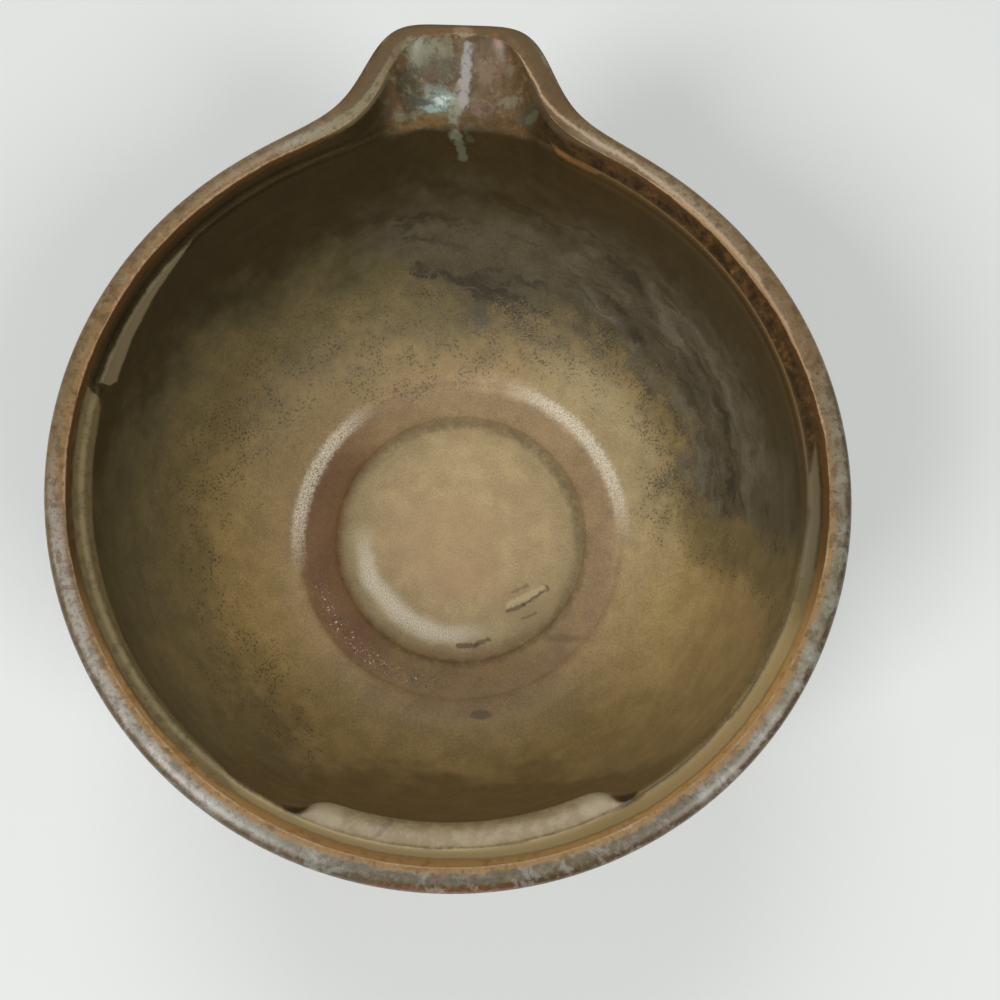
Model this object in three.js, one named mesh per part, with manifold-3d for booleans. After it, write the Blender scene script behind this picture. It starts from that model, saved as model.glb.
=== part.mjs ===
// A spouted stoneware bowl (katakuchi): a thrown clay bowl with a luted spout and foot ring,
// glazed ochre-brown inside and blue-grey over the lip and the outside.
// Millimetres, +Z up, the spout towards +Y. The origin is on the table, under the middle of the box.
import * as THREE from "three";
import { mergeVertices } from "three/addons/utils/BufferGeometryUtils.js";
import Module from "manifold-3d";

// Rim: the lip's outer edge and crest, its flat width, and how far the thrown ring is out of round
const rimRadius = 75.8;
const rimHeight = 74;
const rimOval = 0.95;
const ovalDirection = -45; // degrees from the spout, towards +X
const lipWidth = 4.6;
const lipEdgeDrop = 3.2;
const arrisDrop = 0.3;

// Gallery: the hollow band inside the lip, and the soft ridge below it, which fades on one side
const ridgeInset = 3.7;
const ridgeFade = 0.28;
const ridgeSide = 135; // degrees from the spout, where the ridge stands out most
const ridgeDrop = 4.5;
const ridgeRound = 1.2;

// Shelf: a shallow ledge in the wall under the ridge, opposite the spout
const shelfReach = 3.4;
const shelfDrop = 3;
const shelfSide = 175.5; // degrees from the spout, to the shelf's middle
const shelfSpan = 27; // degrees each side of it

// Wall: the neck under the lip, and the width and height of its round foot
const neckInset = 2.8;
const neckDrop = 10.5;
const bowlFootWidth = 13.5;
const bowlFootRise = 3.2;

// Floor: a disc inside a shallow channel, with a soft step up to the wall, thrown a little off the axis
const wellRadius = 40.6;
const discRadius = 30;
const wellStep = 1;
const wellRound = 1.2;
const channelDepth = 1.1;
const floorThickness = 5;
const wellShift = 1.7;
const wellShiftRise = 22; // the wall is back on the axis this far above the well

// Foot ring, the recess inside it, and the glaze line above it
const footRadius = 38.5;
const footWidth = 7.5;
const footHeight = 6;
const footBevel = 0.9;
const footTaper = 1.2;
const footShoulder = 1;
const recessRise = 0.8;
const glazeLineOut = 6;
const glazeLineRise = 1.6;

// Spout: its reach past the rim, the lip round it, the sill where its floor drops into the bowl
const spoutReach = 19.3;
const spoutAngle = 13; // degrees, to the middle of its outer flank
const channelAngle = 10.6; // degrees, to the middle of its inner flank
const spoutLip = 2.9;
const tipDrop = 0.7;
const sillInset = 0.8;
const sillDrop = 7.6;
const spoutWall = 4.8;
const throatDrop = 20;
const throatReach = 2.2;

// Luted seam of the spout: a round notch through the wall, its centre above the rim
const notchRadius = 30;
const notchLift = 4;

// Glaze coat and the fit between pieces
const glazeThickness = 0.5;
const seatGap = 0.3;

const spoutColumns = 20;
const wallColumns = 21;
const spoutSpan = 24; // degrees each side that the closer columns cover

const radians = THREE.MathUtils.degToRad;
const mix = THREE.MathUtils.lerp;
const point = (r, z) => new THREE.Vector2(r, z);

// Angles of the section planes, clockwise from the spout seen from above.
function sectionAngles() {
  const angles = [];
  for (let i = 0; i < spoutColumns; i++) {
    angles.push(radians(mix(-spoutSpan, spoutSpan, i / spoutColumns)));
  }
  for (let i = 0; i < 2 * wallColumns; i++) {
    angles.push(radians(mix(spoutSpan, 360 - spoutSpan, i / (2 * wallColumns))));
  }
  return angles;
}

// How far a section belongs to a feature: 1 in its middle, one half at halfAngle from it, 0 far away.
function featureShare(phi, middle, halfAngle, steepness) {
  const away = phi - radians(middle);
  const turn = Math.abs(Math.atan2(Math.sin(away), Math.cos(away)));
  return 1 / (1 + Math.pow(turn / radians(halfAngle), steepness));
}

function spoutShare(phi, halfAngle, steepness) {
  return featureShare(phi, 0, halfAngle, steepness);
}

// A control point that goes from the plain wall's (r, z) to the spout's (y, z): the spout's
// sizes lie along +Y, so its lines across the spout are straight in plan.
function blend(phi, share, wall, spout) {
  const across = Math.max(Math.cos(phi), 0.5);
  return point(mix(wall[0], spout[0] / across, share), mix(wall[1], spout[1], share));
}

const floorHeight = footHeight + floorThickness;
const channelHeight = floorHeight - channelDepth;
const wellHeight = floorHeight + wellStep;
const arrisRadius = rimRadius - lipWidth;
const arrisHeight = rimHeight - arrisDrop;
const ridgeHeight = rimHeight - ridgeDrop;
const neckRadius = rimRadius - neckInset;
const neckHeight = rimHeight - neckDrop;
const tipRadius = rimRadius + spoutReach;
const tipHeight = rimHeight - tipDrop;
const tipArris = tipRadius - spoutLip;
const sillRadius = rimRadius - sillInset;
const sillHeight = rimHeight - sillDrop;
const throatRadius = rimRadius + throatReach;
const throatHeight = rimHeight - throatDrop;
const glazeLineRadius = footRadius + glazeLineOut;
const glazeLineHeight = footHeight + glazeLineRise;

// How squarely each line of the spout turns out of the wall; a higher number turns later and faster.
const lipTurn = 5.2;
const channelTurn = 4.4;
const underTurn = 3.4;
const shelfTurn = 6;

// The lip's inner edge, where the two glaze coats meet.
function arris(phi) {
  const share = spoutShare(phi, channelAngle, channelTurn);
  return blend(phi, share, [arrisRadius, arrisHeight], [tipArris, tipHeight - arrisDrop]);
}

// Inner section, from the lip's inner edge down to the axis: gallery, ridge, wall, well and disc.
// On the spout the gallery becomes the trough and the ridge becomes the sill.
function innerSection(phi) {
  const trough = spoutShare(phi, channelAngle, channelTurn);
  const sill = spoutShare(phi, spoutAngle, channelTurn);
  const out = Math.cos(phi - radians(ridgeSide));
  const ridge = arrisRadius - ridgeInset * (1 - ridgeFade + ridgeFade * out);
  const start = arris(phi);
  const face = blend(phi, trough, [arrisRadius - ridgeInset / 4, rimHeight - ridgeDrop / 2],
    [tipArris - spoutLip, rimHeight - sillDrop / 2]);
  const hollow = blend(phi, trough, [ridge + 1.3 * ridgeRound, ridgeHeight],
    [mix(sillRadius, tipArris, 0.35), sillHeight + ridgeRound / 2]);
  const brink = blend(phi, sill, [ridge + ridgeRound / 2, ridgeHeight],
    [sillRadius + ridgeRound, sillHeight]);
  const shelf = featureShare(phi, shelfSide, shelfSpan, shelfTurn);
  const crown = blend(phi, sill, [ridge, ridgeHeight], [sillRadius, sillHeight]);
  crown.lerp(point(ridge - 0.9 * shelfReach, ridgeHeight - 0.4 * shelfDrop), shelf);
  const below = blend(phi, sill, [ridge, ridgeHeight - ridgeRound],
    [sillRadius - ridgeRound / 2, sillHeight - ridgeRound]);
  below.lerp(point(ridge - shelfReach, ridgeHeight - shelfDrop), shelf);
  const bulge = blend(phi, sill, [ridge, mix(wellHeight, rimHeight, 0.3)],
    [arrisRadius - ridgeInset / 2, mix(wellHeight, rimHeight, 0.4)]);
  const foot = point(wellRadius + bowlFootWidth, wellHeight + bowlFootRise);
  const edgeOut = point(wellRadius + 0.75 * wellRound, wellHeight + 0.3 * wellRound);
  const edge = point(wellRadius - 0.25 * wellRound, wellHeight);
  const edgeIn = point(wellRadius - wellRound, wellHeight - 0.65 * wellRound);
  const channelOut = point(wellRadius - 2 * wellRound, channelHeight);
  const channelIn = point(discRadius + 2 * wellRound, channelHeight);
  const discOut = point(discRadius + 0.65 * wellRound, mix(channelHeight, floorHeight, 0.5));
  const discEdge = point(discRadius, floorHeight);
  const discIn = point(discRadius - 1.3 * wellRound, floorHeight);
  return [
    [new THREE.CubicBezierCurve(start, face, hollow, brink), 4],
    [new THREE.QuadraticBezierCurve(brink, crown, below), 2],
    [new THREE.CubicBezierCurve(below, bulge, foot, edgeOut), 6],
    [new THREE.QuadraticBezierCurve(edgeOut, edge, edgeIn), 2],
    [new THREE.CubicBezierCurve(edgeIn, channelOut, channelIn, discOut), 2],
    [new THREE.QuadraticBezierCurve(discOut, discEdge, discIn), 1],
    [new THREE.LineCurve(discIn, point(0, floorHeight)), 1],
  ];
}

// Outer section, from the lip's inner edge over the crest, round the outer edge and the neck,
// and down the wall to the glaze line.
function outerSection(phi) {
  const trough = spoutShare(phi, channelAngle, channelTurn);
  const lip = spoutShare(phi, spoutAngle, lipTurn);
  const under = spoutShare(phi, spoutAngle, underTurn);
  const edgeHeight = rimHeight - lipEdgeDrop;
  const start = arris(phi);
  const rise = blend(phi, trough, [arrisRadius + lipWidth / 8, rimHeight],
    [tipArris + spoutLip / 8, tipHeight]);
  const crest = blend(phi, lip, [rimRadius - 0.45 * lipWidth, rimHeight],
    [tipRadius - 0.4 * spoutLip, tipHeight]);
  const shoulder = blend(phi, lip, [rimRadius - 0.15 * lipWidth, rimHeight - 0.3 * lipEdgeDrop],
    [tipRadius - 0.15 * spoutLip, tipHeight - 0.2 * lipEdgeDrop]);
  const edge = blend(phi, lip, [rimRadius + 0.05 * lipWidth, rimHeight - 0.6 * lipEdgeDrop],
    [tipRadius + 0.05 * spoutLip, tipHeight - 0.4 * lipEdgeDrop]);
  const turn = blend(phi, lip, [rimRadius - 0.05 * lipWidth, edgeHeight],
    [tipRadius - 0.05 * spoutLip, tipHeight - 0.75 * lipEdgeDrop]);
  const tuck = blend(phi, lip, [rimRadius - 0.25 * neckInset, mix(edgeHeight, neckHeight, 1 / 3)],
    [tipRadius - 0.8 * spoutLip, sillHeight]);
  const belly = blend(phi, under, [rimRadius - 0.85 * neckInset, mix(edgeHeight, neckHeight, 0.5)],
    [mix(throatRadius, tipRadius, 0.4), sillHeight - spoutWall]);
  const neck = blend(phi, under, [neckRadius, neckHeight], [throatRadius, throatHeight]);
  const flank = blend(phi, under, [neckRadius, mix(glazeLineHeight, rimHeight, 0.4)],
    [neckRadius - 0.4 * neckInset, throatHeight - neckDrop]);
  const foot = point(glazeLineRadius + bowlFootWidth, glazeLineHeight + bowlFootRise);
  return [
    [new THREE.CubicBezierCurve(start, rise, crest, shoulder), 3],
    [new THREE.QuadraticBezierCurve(shoulder, edge, turn), 2],
    [new THREE.CubicBezierCurve(turn, tuck, belly, neck), 3],
    [new THREE.CubicBezierCurve(neck, flank, foot, point(glazeLineRadius, glazeLineHeight)), 8],
  ];
}

// A point of a section in space. The thrown wall is out of round in step with its height.
function place(p, phi) {
  const share = Math.pow(p.y / rimHeight, 2);
  const oval = rimOval * share * Math.cos(2 * (phi - radians(ovalDirection)));
  const r = p.x > 1 ? p.x + oval : p.x;
  return new THREE.Vector3(r * Math.sin(phi), r * Math.cos(phi), p.y);
}

// A point of the inner section: the well lies off the axis, away from the spout.
function placeInside(p, phi) {
  const rise = THREE.MathUtils.smoothstep(p.y, wellHeight, wellHeight + wellShiftRise);
  return place(p, phi).add(new THREE.Vector3(0, -wellShift * (1 - rise), 0));
}

function sectionPoints(pieces) {
  const points = [pieces[0][0].getPoint(0)];
  for (const [curve, steps] of pieces) {
    points.push(...curve.getPoints(steps).slice(1));
  }
  return points;
}

const angles = sectionAngles();

// Rows of the glazed surface: from the glaze line outside, up over the lip, down to the floor's centre.
const outerSections = angles.map((phi) => sectionPoints(outerSection(phi)).reverse());
const innerSections = angles.map((phi) => sectionPoints(innerSection(phi)).slice(1));
const arrisRow = outerSections[0].length - 1;
const surface = [];
for (let i = 0; i <= arrisRow; i++) {
  surface.push(angles.map((phi, j) => place(outerSections[j][i], phi)));
}
for (let i = 0; i < innerSections[0].length; i++) {
  surface.push(angles.map((phi, j) => placeInside(innerSections[j][i], phi)));
}
surface[surface.length - 1] = [new THREE.Vector3(0, -wellShift, floorHeight)];

// The tangent at a point of the circle through it and its two neighbours.
function tangent(before, p, after) {
  const a = p.clone().sub(before);
  const b = after.clone().sub(p);
  const least = 1e-6;
  return a.divideScalar(Math.max(a.lengthSq(), least)).addScaledVector(b, 1 / Math.max(b.lengthSq(), least));
}

// The same rows moved into the wall by a depth, along the surface's normals.
function sunk(rows, depth) {
  const at = (i, j) => (rows[i].length === 1 ? rows[i][0] : rows[i][(j + rows[i].length) % rows[i].length]);
  return rows.map((row, i) => {
    if (row.length === 1) return [row[0].clone().add(new THREE.Vector3(0, 0, -depth))];
    return row.map((p, j) => {
      const along = tangent(at(Math.max(i - 1, 0), j), p, at(Math.min(i + 1, rows.length - 1), j));
      const round = tangent(at(i, j - 1), p, at(i, j + 1));
      return p.clone().addScaledVector(along.cross(round).normalize(), -depth);
    });
  });
}

// A ring of points round the axis.
function ring(r, z) {
  return angles.map((phi) => new THREE.Vector3(r * Math.sin(phi), r * Math.cos(phi), z));
}

// A row that stops a gap short of its neighbour.
function shortOf(row, neighbour, gap) {
  return row.map((p, j) => {
    const way = neighbour[j].clone().sub(p);
    return p.clone().addScaledVector(way, gap / way.length());
  });
}

// One closed surface through rows of points, the last joined to the first; a row of one point is a pole.
function closedSurface(rows) {
  const positions = [];
  const index = [];
  const first = [];
  for (const row of rows) {
    first.push(positions.length / 3);
    row.forEach((p) => positions.push(p.x, p.y, p.z));
  }
  rows.forEach((row, i) => {
    const next = (i + 1) % rows.length;
    const columns = Math.max(row.length, rows[next].length);
    for (let j = 0; j < columns && columns > 1; j++) {
      const k = (j + 1) % columns;
      const a = first[i] + (row.length > 1 ? j : 0);
      const b = first[next] + (rows[next].length > 1 ? j : 0);
      const c = first[i] + (row.length > 1 ? k : 0);
      const d = first[next] + (rows[next].length > 1 ? k : 0);
      if (a !== c) index.push(a, b, c);
      if (b !== d) index.push(b, d, c);
    }
  });
  const geometry = new THREE.BufferGeometry();
  geometry.setAttribute("position", new THREE.Float32BufferAttribute(positions, 3));
  geometry.setIndex(index);
  return geometry;
}

const wasm = await Module();
wasm.setup();

function solid(geometry) {
  const bare = geometry.clone();
  bare.deleteAttribute("normal");
  bare.deleteAttribute("uv");
  const merged = mergeVertices(bare, 1e-4);
  return new wasm.Manifold(new wasm.Mesh({
    numProp: 3,
    vertProperties: new Float32Array(merged.attributes.position.array),
    triVerts: new Uint32Array(merged.index.array),
  }));
}

function geometryOf(body) {
  const mesh = body.getMesh();
  const geometry = new THREE.BufferGeometry();
  geometry.setAttribute("position", new THREE.BufferAttribute(new Float32Array(mesh.vertProperties), 3));
  geometry.setIndex(new THREE.BufferAttribute(new Uint32Array(mesh.triVerts), 1));
  return geometry;
}

const clay = { color: 0x8a6a4a, roughness: 0.85, metalness: 0 };
const glazes = {
  inner: { color: 0x7a6238, roughness: 0.35, metalness: 0 },
  outer: { color: 0x75706a, roughness: 0.4, metalness: 0 },
};

function piece(name, geometry, finish) {
  geometry.computeVertexNormals();
  const mesh = new THREE.Mesh(geometry, new THREE.MeshStandardMaterial(finish));
  mesh.name = name;
  return mesh;
}

// Clay: the surface less the glaze coat and its gap, closed by the bare band above the foot,
// the foot ring's seat and the raised floor inside it.
const footInside = footRadius - footWidth;
const clayRows = sunk(surface, glazeThickness + seatGap);
const clayShell = closedSurface([
  [new THREE.Vector3(0, 0, footHeight + recessRise / 2)],
  ring(footInside / 3, footHeight + recessRise),
  ring(footInside - 2 * footShoulder, footHeight + recessRise),
  ring(footInside - footShoulder, footHeight),
  ring(footRadius + footShoulder, footHeight),
  ring(mix(footRadius, glazeLineRadius, 0.8), mix(footHeight, glazeLineHeight, 0.75)),
  ...clayRows,
]);

// The notch is a round bore along the spout, and the spout fills it but for the luting seam.
function notch(radius) {
  const start = rimRadius * 0.6;
  const length = tipRadius + 10 - start;
  const bore = new THREE.CylinderGeometry(radius, radius, length, 48);
  bore.translate(0, start + length / 2, rimHeight + notchLift);
  return solid(bore);
}

const thrown = solid(clayShell);
const bowlBody = geometryOf(thrown.subtract(notch(notchRadius + seatGap)));
const spout = geometryOf(thrown.intersect(notch(notchRadius)));

// Glaze coats, meeting a gap apart at the lip's inner edge.
const innerRows = surface.slice(arrisRow);
const innerCoat = closedSurface([...innerRows, ...sunk(surface, glazeThickness).slice(arrisRow).reverse()]);
const outerRows = surface.slice(0, arrisRow + 1);
const outerBack = sunk(surface, glazeThickness).slice(0, arrisRow + 1);
outerRows[arrisRow] = shortOf(outerRows[arrisRow], outerRows[arrisRow - 1], seatGap);
outerBack[arrisRow] = shortOf(outerBack[arrisRow], outerBack[arrisRow - 1], seatGap);
const outerCoat = closedSurface([...outerRows, ...outerBack.reverse()]);

// Foot ring: tapered outside, bevelled at the table, its top under the clay's seat.
const footTop = footHeight - seatGap;
const footRing = closedSurface([
  ring(footInside + footBevel, 0),
  ring(footRadius - footTaper - footBevel, 0),
  ring(footRadius - footTaper, footBevel),
  ring(footRadius, footTop),
  ring(footInside, footTop),
  ring(footInside, footBevel),
]);

const bowl = new THREE.Group();
bowl.name = "spouted_bowl";
bowl.add(
  piece("bowl_body", bowlBody, clay),
  piece("spout", spout, clay),
  piece("foot_ring", footRing, clay),
  piece("inner_glaze", innerCoat, glazes.inner),
  piece("outer_glaze", outerCoat, glazes.outer),
);

// The origin goes under the middle of the whole bowl's box, spout included.
const box = new THREE.Box3().setFromObject(bowl);
const middle = box.getCenter(new THREE.Vector3());
bowl.children.forEach((mesh) => mesh.position.set(-middle.x, -middle.y, 0));

export default bowl;
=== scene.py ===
# %% [markdown]
# # A spouted bowl in brown glaze
# The frame is the bowl as it is built: a thrown clay bowl, a luted spout, a luted foot ring and two
# coats of glaze, as plain solids at their real size. This lesson makes the surfaces that are seen.
# A thrown bowl is a profile that a wheel carries round its axis, so nearly everything here is one
# grid: the rows run along the profile and the columns run round the axis.

# %% Load the frame
from math import comb

import bpy
import numpy as np
from mathutils import Matrix, Vector


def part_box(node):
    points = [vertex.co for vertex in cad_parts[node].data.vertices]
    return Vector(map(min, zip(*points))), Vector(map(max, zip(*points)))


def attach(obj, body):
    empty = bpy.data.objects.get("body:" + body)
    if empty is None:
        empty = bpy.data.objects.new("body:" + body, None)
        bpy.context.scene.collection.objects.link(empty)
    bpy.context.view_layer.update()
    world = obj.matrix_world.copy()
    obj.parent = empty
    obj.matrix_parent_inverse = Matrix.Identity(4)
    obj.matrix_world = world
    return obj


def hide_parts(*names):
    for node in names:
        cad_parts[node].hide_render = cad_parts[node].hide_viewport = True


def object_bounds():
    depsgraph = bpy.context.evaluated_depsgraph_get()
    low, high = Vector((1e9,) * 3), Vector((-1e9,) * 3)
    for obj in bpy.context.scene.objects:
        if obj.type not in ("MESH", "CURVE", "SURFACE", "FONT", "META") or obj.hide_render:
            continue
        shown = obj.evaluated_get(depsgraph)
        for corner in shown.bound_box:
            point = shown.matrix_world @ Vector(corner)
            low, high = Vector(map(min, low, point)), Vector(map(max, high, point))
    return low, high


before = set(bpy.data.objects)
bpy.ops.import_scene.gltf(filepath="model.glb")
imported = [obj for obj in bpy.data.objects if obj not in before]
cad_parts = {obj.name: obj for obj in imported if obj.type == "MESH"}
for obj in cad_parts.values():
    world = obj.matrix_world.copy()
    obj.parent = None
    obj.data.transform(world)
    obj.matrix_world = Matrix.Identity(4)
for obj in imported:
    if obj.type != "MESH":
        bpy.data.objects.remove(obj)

cad_low, cad_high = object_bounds()
foot_low, foot_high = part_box("foot_ring")
axis = (foot_low + foot_high) / 2
print("the bowl's axis stands at x", round(axis.x, 5), "y", round(axis.y, 5), "metres")

# %% [markdown]
# Potters' sizes are easier to read in millimetres from the bowl's own axis, so every size below is
# one. A point becomes metres in the frame only when it goes into a mesh. All points are drawn in by
# about a thousandth, so that the fine surface stays inside the box of the faceted solids.

# %% Sizes of the bowl
MM = 0.001
DRAWN_IN = 0.9986

rim_radius = 75.8
rim_height = 74.0
rim_oval = 0.95
oval_direction = -45
lip_width = 4.6
lip_edge_drop = 3.2
arris_drop = 0.3
ridge_inset = 3.7
ridge_fade = 0.28
ridge_side = 135
ridge_drop = 4.5
ridge_round = 1.2
shelf_reach = 3.4
shelf_drop = 3.0
shelf_side = 176.2
shelf_span = 24.2
neck_inset = 2.8
neck_drop = 10.5
bowl_foot_width = 13.5
bowl_foot_rise = 3.2

well_radius = 40.6
disc_radius = 30.0
well_step = 1.0
well_round = 1.2
channel_depth = 1.1
well_shift = 1.7
well_shift_rise = 22.0
foot_height = 6.0
foot_radius = 38.5
foot_width = 7.5
foot_bevel = 0.9
foot_taper = 1.2
foot_shoulder = 1.0
recess_rise = 0.8
glaze_line_out = 6.0
glaze_line_rise = 1.6

spout_reach = 19.3
spout_angle = 13
channel_angle = 10.6
spout_lip = 2.9
tip_drop = 0.7
sill_inset = 0.8
sill_drop = 7.6
spout_wall = 4.8
throat_drop = 20.0
throat_reach = 2.2
notch_radius = 30.0
notch_lift = 4.0
lip_turn = 5.2
channel_turn = 4.4
under_turn = 3.4
shelf_turn = 22.0

glaze_thickness = 0.5
seat_gap = 0.3

# %% Heights and radii that follow from them
floor_height = foot_height + 5.0
channel_height = floor_height - channel_depth
well_height = floor_height + well_step
arris_radius = rim_radius - lip_width
ridge_height = rim_height - ridge_drop
neck_radius = rim_radius - neck_inset
neck_height = rim_height - neck_drop
tip_radius = rim_radius + spout_reach
tip_height = rim_height - tip_drop
tip_arris = tip_radius - spout_lip
sill_radius = rim_radius - sill_inset
sill_height = rim_height - sill_drop
throat_radius = rim_radius + throat_reach
throat_height = rim_height - throat_drop
glaze_line_radius = foot_radius + glaze_line_out
glaze_line_height = foot_height + glaze_line_rise

# %% [markdown]
# The columns stand closer where the surface turns quickly: at the spout, at a small bead in the
# glaze and at both ends of the shelf. Angles are clockwise from the spout, seen from above.

# %% Columns round the bowl
COLUMN_RUNS = [(-24, 24, 140), (24, 51, 24), (51, 55, 14), (55, 128, 60), (128, 147, 28),
               (147, 158, 34), (158, 195, 28), (195, 206, 34), (206, 336, 100)]
turns = np.concatenate([np.linspace(start, end, count, endpoint=False)
                        for start, end, count in COLUMN_RUNS])
phi = np.radians(turns)
print(len(phi), "columns round the bowl")


# %% [markdown]
# A section is a chain of Bezier curves. Each control point is a whole array with one radius and
# height per column, because the spout moves it: on the plain wall it is one point, on the spout
# another, and in between a smooth share of both. That share is what makes the trough flow into the
# rim, which is the hard part of this bowl.

# %% Curves for all the columns at once
def mix(a, b, share):
    """a at share 0, b at share 1, a straight line between."""
    return a + (b - a) * share


def turn_from(angles, centre):
    """How far each angle lies from the centre, in degrees from -180 to 180."""
    away = angles - np.radians(centre)
    return np.degrees(np.arctan2(np.sin(away), np.cos(away)))


def share_round(centre, half, steepness):
    """1 / (1 + (|turn from centre| / half) ** steepness): 1 at the centre, 0 far away."""
    return 1 / (1 + (np.abs(turn_from(phi, centre)) / half) ** steepness)


def spout_share(half, steepness):
    """1 on the spout's axis, one half at half, 0 on the plain wall."""
    return share_round(0, half, steepness)


def still(r, z):
    """A control point that is the same in every column."""
    return np.broadcast_to(np.array([r, z], float), (len(phi), 2))


def blend(share, wall, spout):
    """From the wall's (radius, height) to the spout's (reach along +Y, height), by the share."""
    across = np.maximum(np.cos(phi), 0.5)
    radius = mix(wall[0] + 0 * phi, spout[0] / across, share)
    height = mix(wall[1], spout[1], share)
    return np.stack([radius, height], axis=-1)


def towards(points, r, z, share):
    """The points, moved to (r, z) by a share that differs from column to column."""
    target = np.stack([r + 0 * phi, z + 0 * phi], axis=-1)
    return mix(points, target, share[:, None])


def bezier(points, steps, ease=1.0):
    """The control points times Bernstein's polynomials; an ease above 1 packs rows at the start."""
    t = np.linspace(0, 1, steps + 1)[1:, None, None] ** ease
    order = len(points) - 1
    weights = [comb(order, k) * (1 - t) ** (order - k) * t ** k for k in range(order + 1)]
    return sum(weight * point for weight, point in zip(weights, points))


def section(pieces):
    """The curves one after the other, as an array (row, column, radius and height)."""
    curves = [bezier(points, steps, ease) for *points, steps, ease in pieces]
    return np.concatenate([pieces[0][0][None], *curves])


# %% Section of the inside
POLE_RADIUS = 1.5
trough = spout_share(channel_angle, channel_turn)
sill = spout_share(spout_angle, channel_turn)
shelf = share_round(shelf_side, shelf_span, shelf_turn)
GALLERY_ROWS = 36
CROWN_ROWS = 16
arris = blend(trough, [arris_radius, rim_height - arris_drop], [tip_arris, tip_height - arris_drop])


def inner_section():
    """From the lip's inner edge: the gallery or trough, the ridge or sill, the wall, the well."""
    swing = np.cos(phi - np.radians(ridge_side))
    ridge = arris_radius - ridge_inset * (1 - ridge_fade + ridge_fade * swing)
    face = blend(trough, [arris_radius - ridge_inset / 4, rim_height - ridge_drop / 2],
                 [tip_arris - spout_lip, rim_height - sill_drop / 2])
    hollow = blend(trough, [ridge + 1.3 * ridge_round, ridge_height],
                   [mix(sill_radius, tip_arris, 0.35), sill_height + ridge_round / 2])
    brink = blend(sill, [ridge + ridge_round / 2, ridge_height],
                  [sill_radius + ridge_round, sill_height])
    crown = blend(sill, [ridge, ridge_height], [sill_radius, sill_height])
    crown = towards(crown, ridge - 0.9 * shelf_reach, ridge_height - 0.4 * shelf_drop, shelf)
    below = blend(sill, [ridge, ridge_height - ridge_round],
                  [sill_radius - ridge_round / 2, sill_height - ridge_round])
    below = towards(below, ridge - shelf_reach, ridge_height - shelf_drop, shelf)
    bulge = blend(sill, [ridge, mix(well_height, rim_height, 0.3)],
                  [arris_radius - ridge_inset / 2, mix(well_height, rim_height, 0.4)])
    foot = still(well_radius + bowl_foot_width, well_height + bowl_foot_rise)
    edge_out = still(well_radius + 0.75 * well_round, well_height + 0.3 * well_round)
    edge = still(well_radius - 0.25 * well_round, well_height)
    edge_in = still(well_radius - well_round, well_height - 0.65 * well_round)
    channel_out = still(well_radius - 2 * well_round, channel_height)
    channel_in = still(disc_radius + 2 * well_round, channel_height)
    disc_out = still(disc_radius + 0.65 * well_round, mix(channel_height, floor_height, 0.5))
    disc_edge = still(disc_radius, floor_height)
    disc_in = still(disc_radius - 1.3 * well_round, floor_height)
    return section([
        (arris, face, hollow, brink, GALLERY_ROWS, 1.0),
        (brink, crown, below, CROWN_ROWS, 1.0),
        (below, bulge, foot, edge_out, 60, 1.6),
        (edge_out, edge, edge_in, 12, 1.0),
        (edge_in, channel_out, channel_in, disc_out, 20, 1.0),
        (disc_out, disc_edge, disc_in, 9, 1.0),
        (disc_in, still(POLE_RADIUS, floor_height), 40, 1.3),
    ])


# %% Section of the outside
def outer_section():
    """From the lip's inner edge: over the crest, round the edge and the neck, to the glaze line."""
    lip = spout_share(spout_angle, lip_turn)
    under = spout_share(spout_angle, under_turn)
    edge_height = rim_height - lip_edge_drop
    rise = blend(trough, [arris_radius + lip_width / 8, rim_height],
                 [tip_arris + spout_lip / 8, tip_height])
    crest = blend(lip, [rim_radius - 0.45 * lip_width, rim_height],
                  [tip_radius - 0.4 * spout_lip, tip_height])
    shoulder = blend(lip, [rim_radius - 0.15 * lip_width, rim_height - 0.3 * lip_edge_drop],
                     [tip_radius - 0.15 * spout_lip, tip_height - 0.2 * lip_edge_drop])
    edge = blend(lip, [rim_radius + 0.05 * lip_width, rim_height - 0.6 * lip_edge_drop],
                 [tip_radius + 0.05 * spout_lip, tip_height - 0.4 * lip_edge_drop])
    turn = blend(lip, [rim_radius - 0.05 * lip_width, edge_height],
                 [tip_radius - 0.05 * spout_lip, tip_height - 0.75 * lip_edge_drop])
    tuck = blend(lip, [rim_radius - 0.25 * neck_inset, mix(edge_height, neck_height, 1 / 3)],
                 [tip_radius - 0.8 * spout_lip, sill_height])
    belly = blend(under, [rim_radius - 0.85 * neck_inset, mix(edge_height, neck_height, 0.5)],
                  [mix(throat_radius, tip_radius, 0.4), sill_height - spout_wall])
    neck = blend(under, [neck_radius, neck_height], [throat_radius, throat_height])
    flank = blend(under, [neck_radius, mix(glaze_line_height, rim_height, 0.4)],
                  [neck_radius - 0.4 * neck_inset, throat_height - neck_drop])
    foot = still(glaze_line_radius + bowl_foot_width, glaze_line_height + bowl_foot_rise)
    return section([
        (arris, rise, crest, shoulder, 26, 1.0),
        (shoulder, edge, turn, 16, 1.0),
        (turn, tuck, belly, neck, 24, 1.0),
        (neck, flank, foot, still(glaze_line_radius, glaze_line_height), 64, 1.0),
    ])


# %% [markdown]
# The hand shows in a thrown pot. The rim is slightly out of round, the floor's well sits a little
# off the axis, and a spiral of finger marks climbs the wall. Where the shelf ends, the wall is
# pressed in. On the floor lies a fold in the skin, and on the gallery a bead where a bubble froze.

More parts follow.
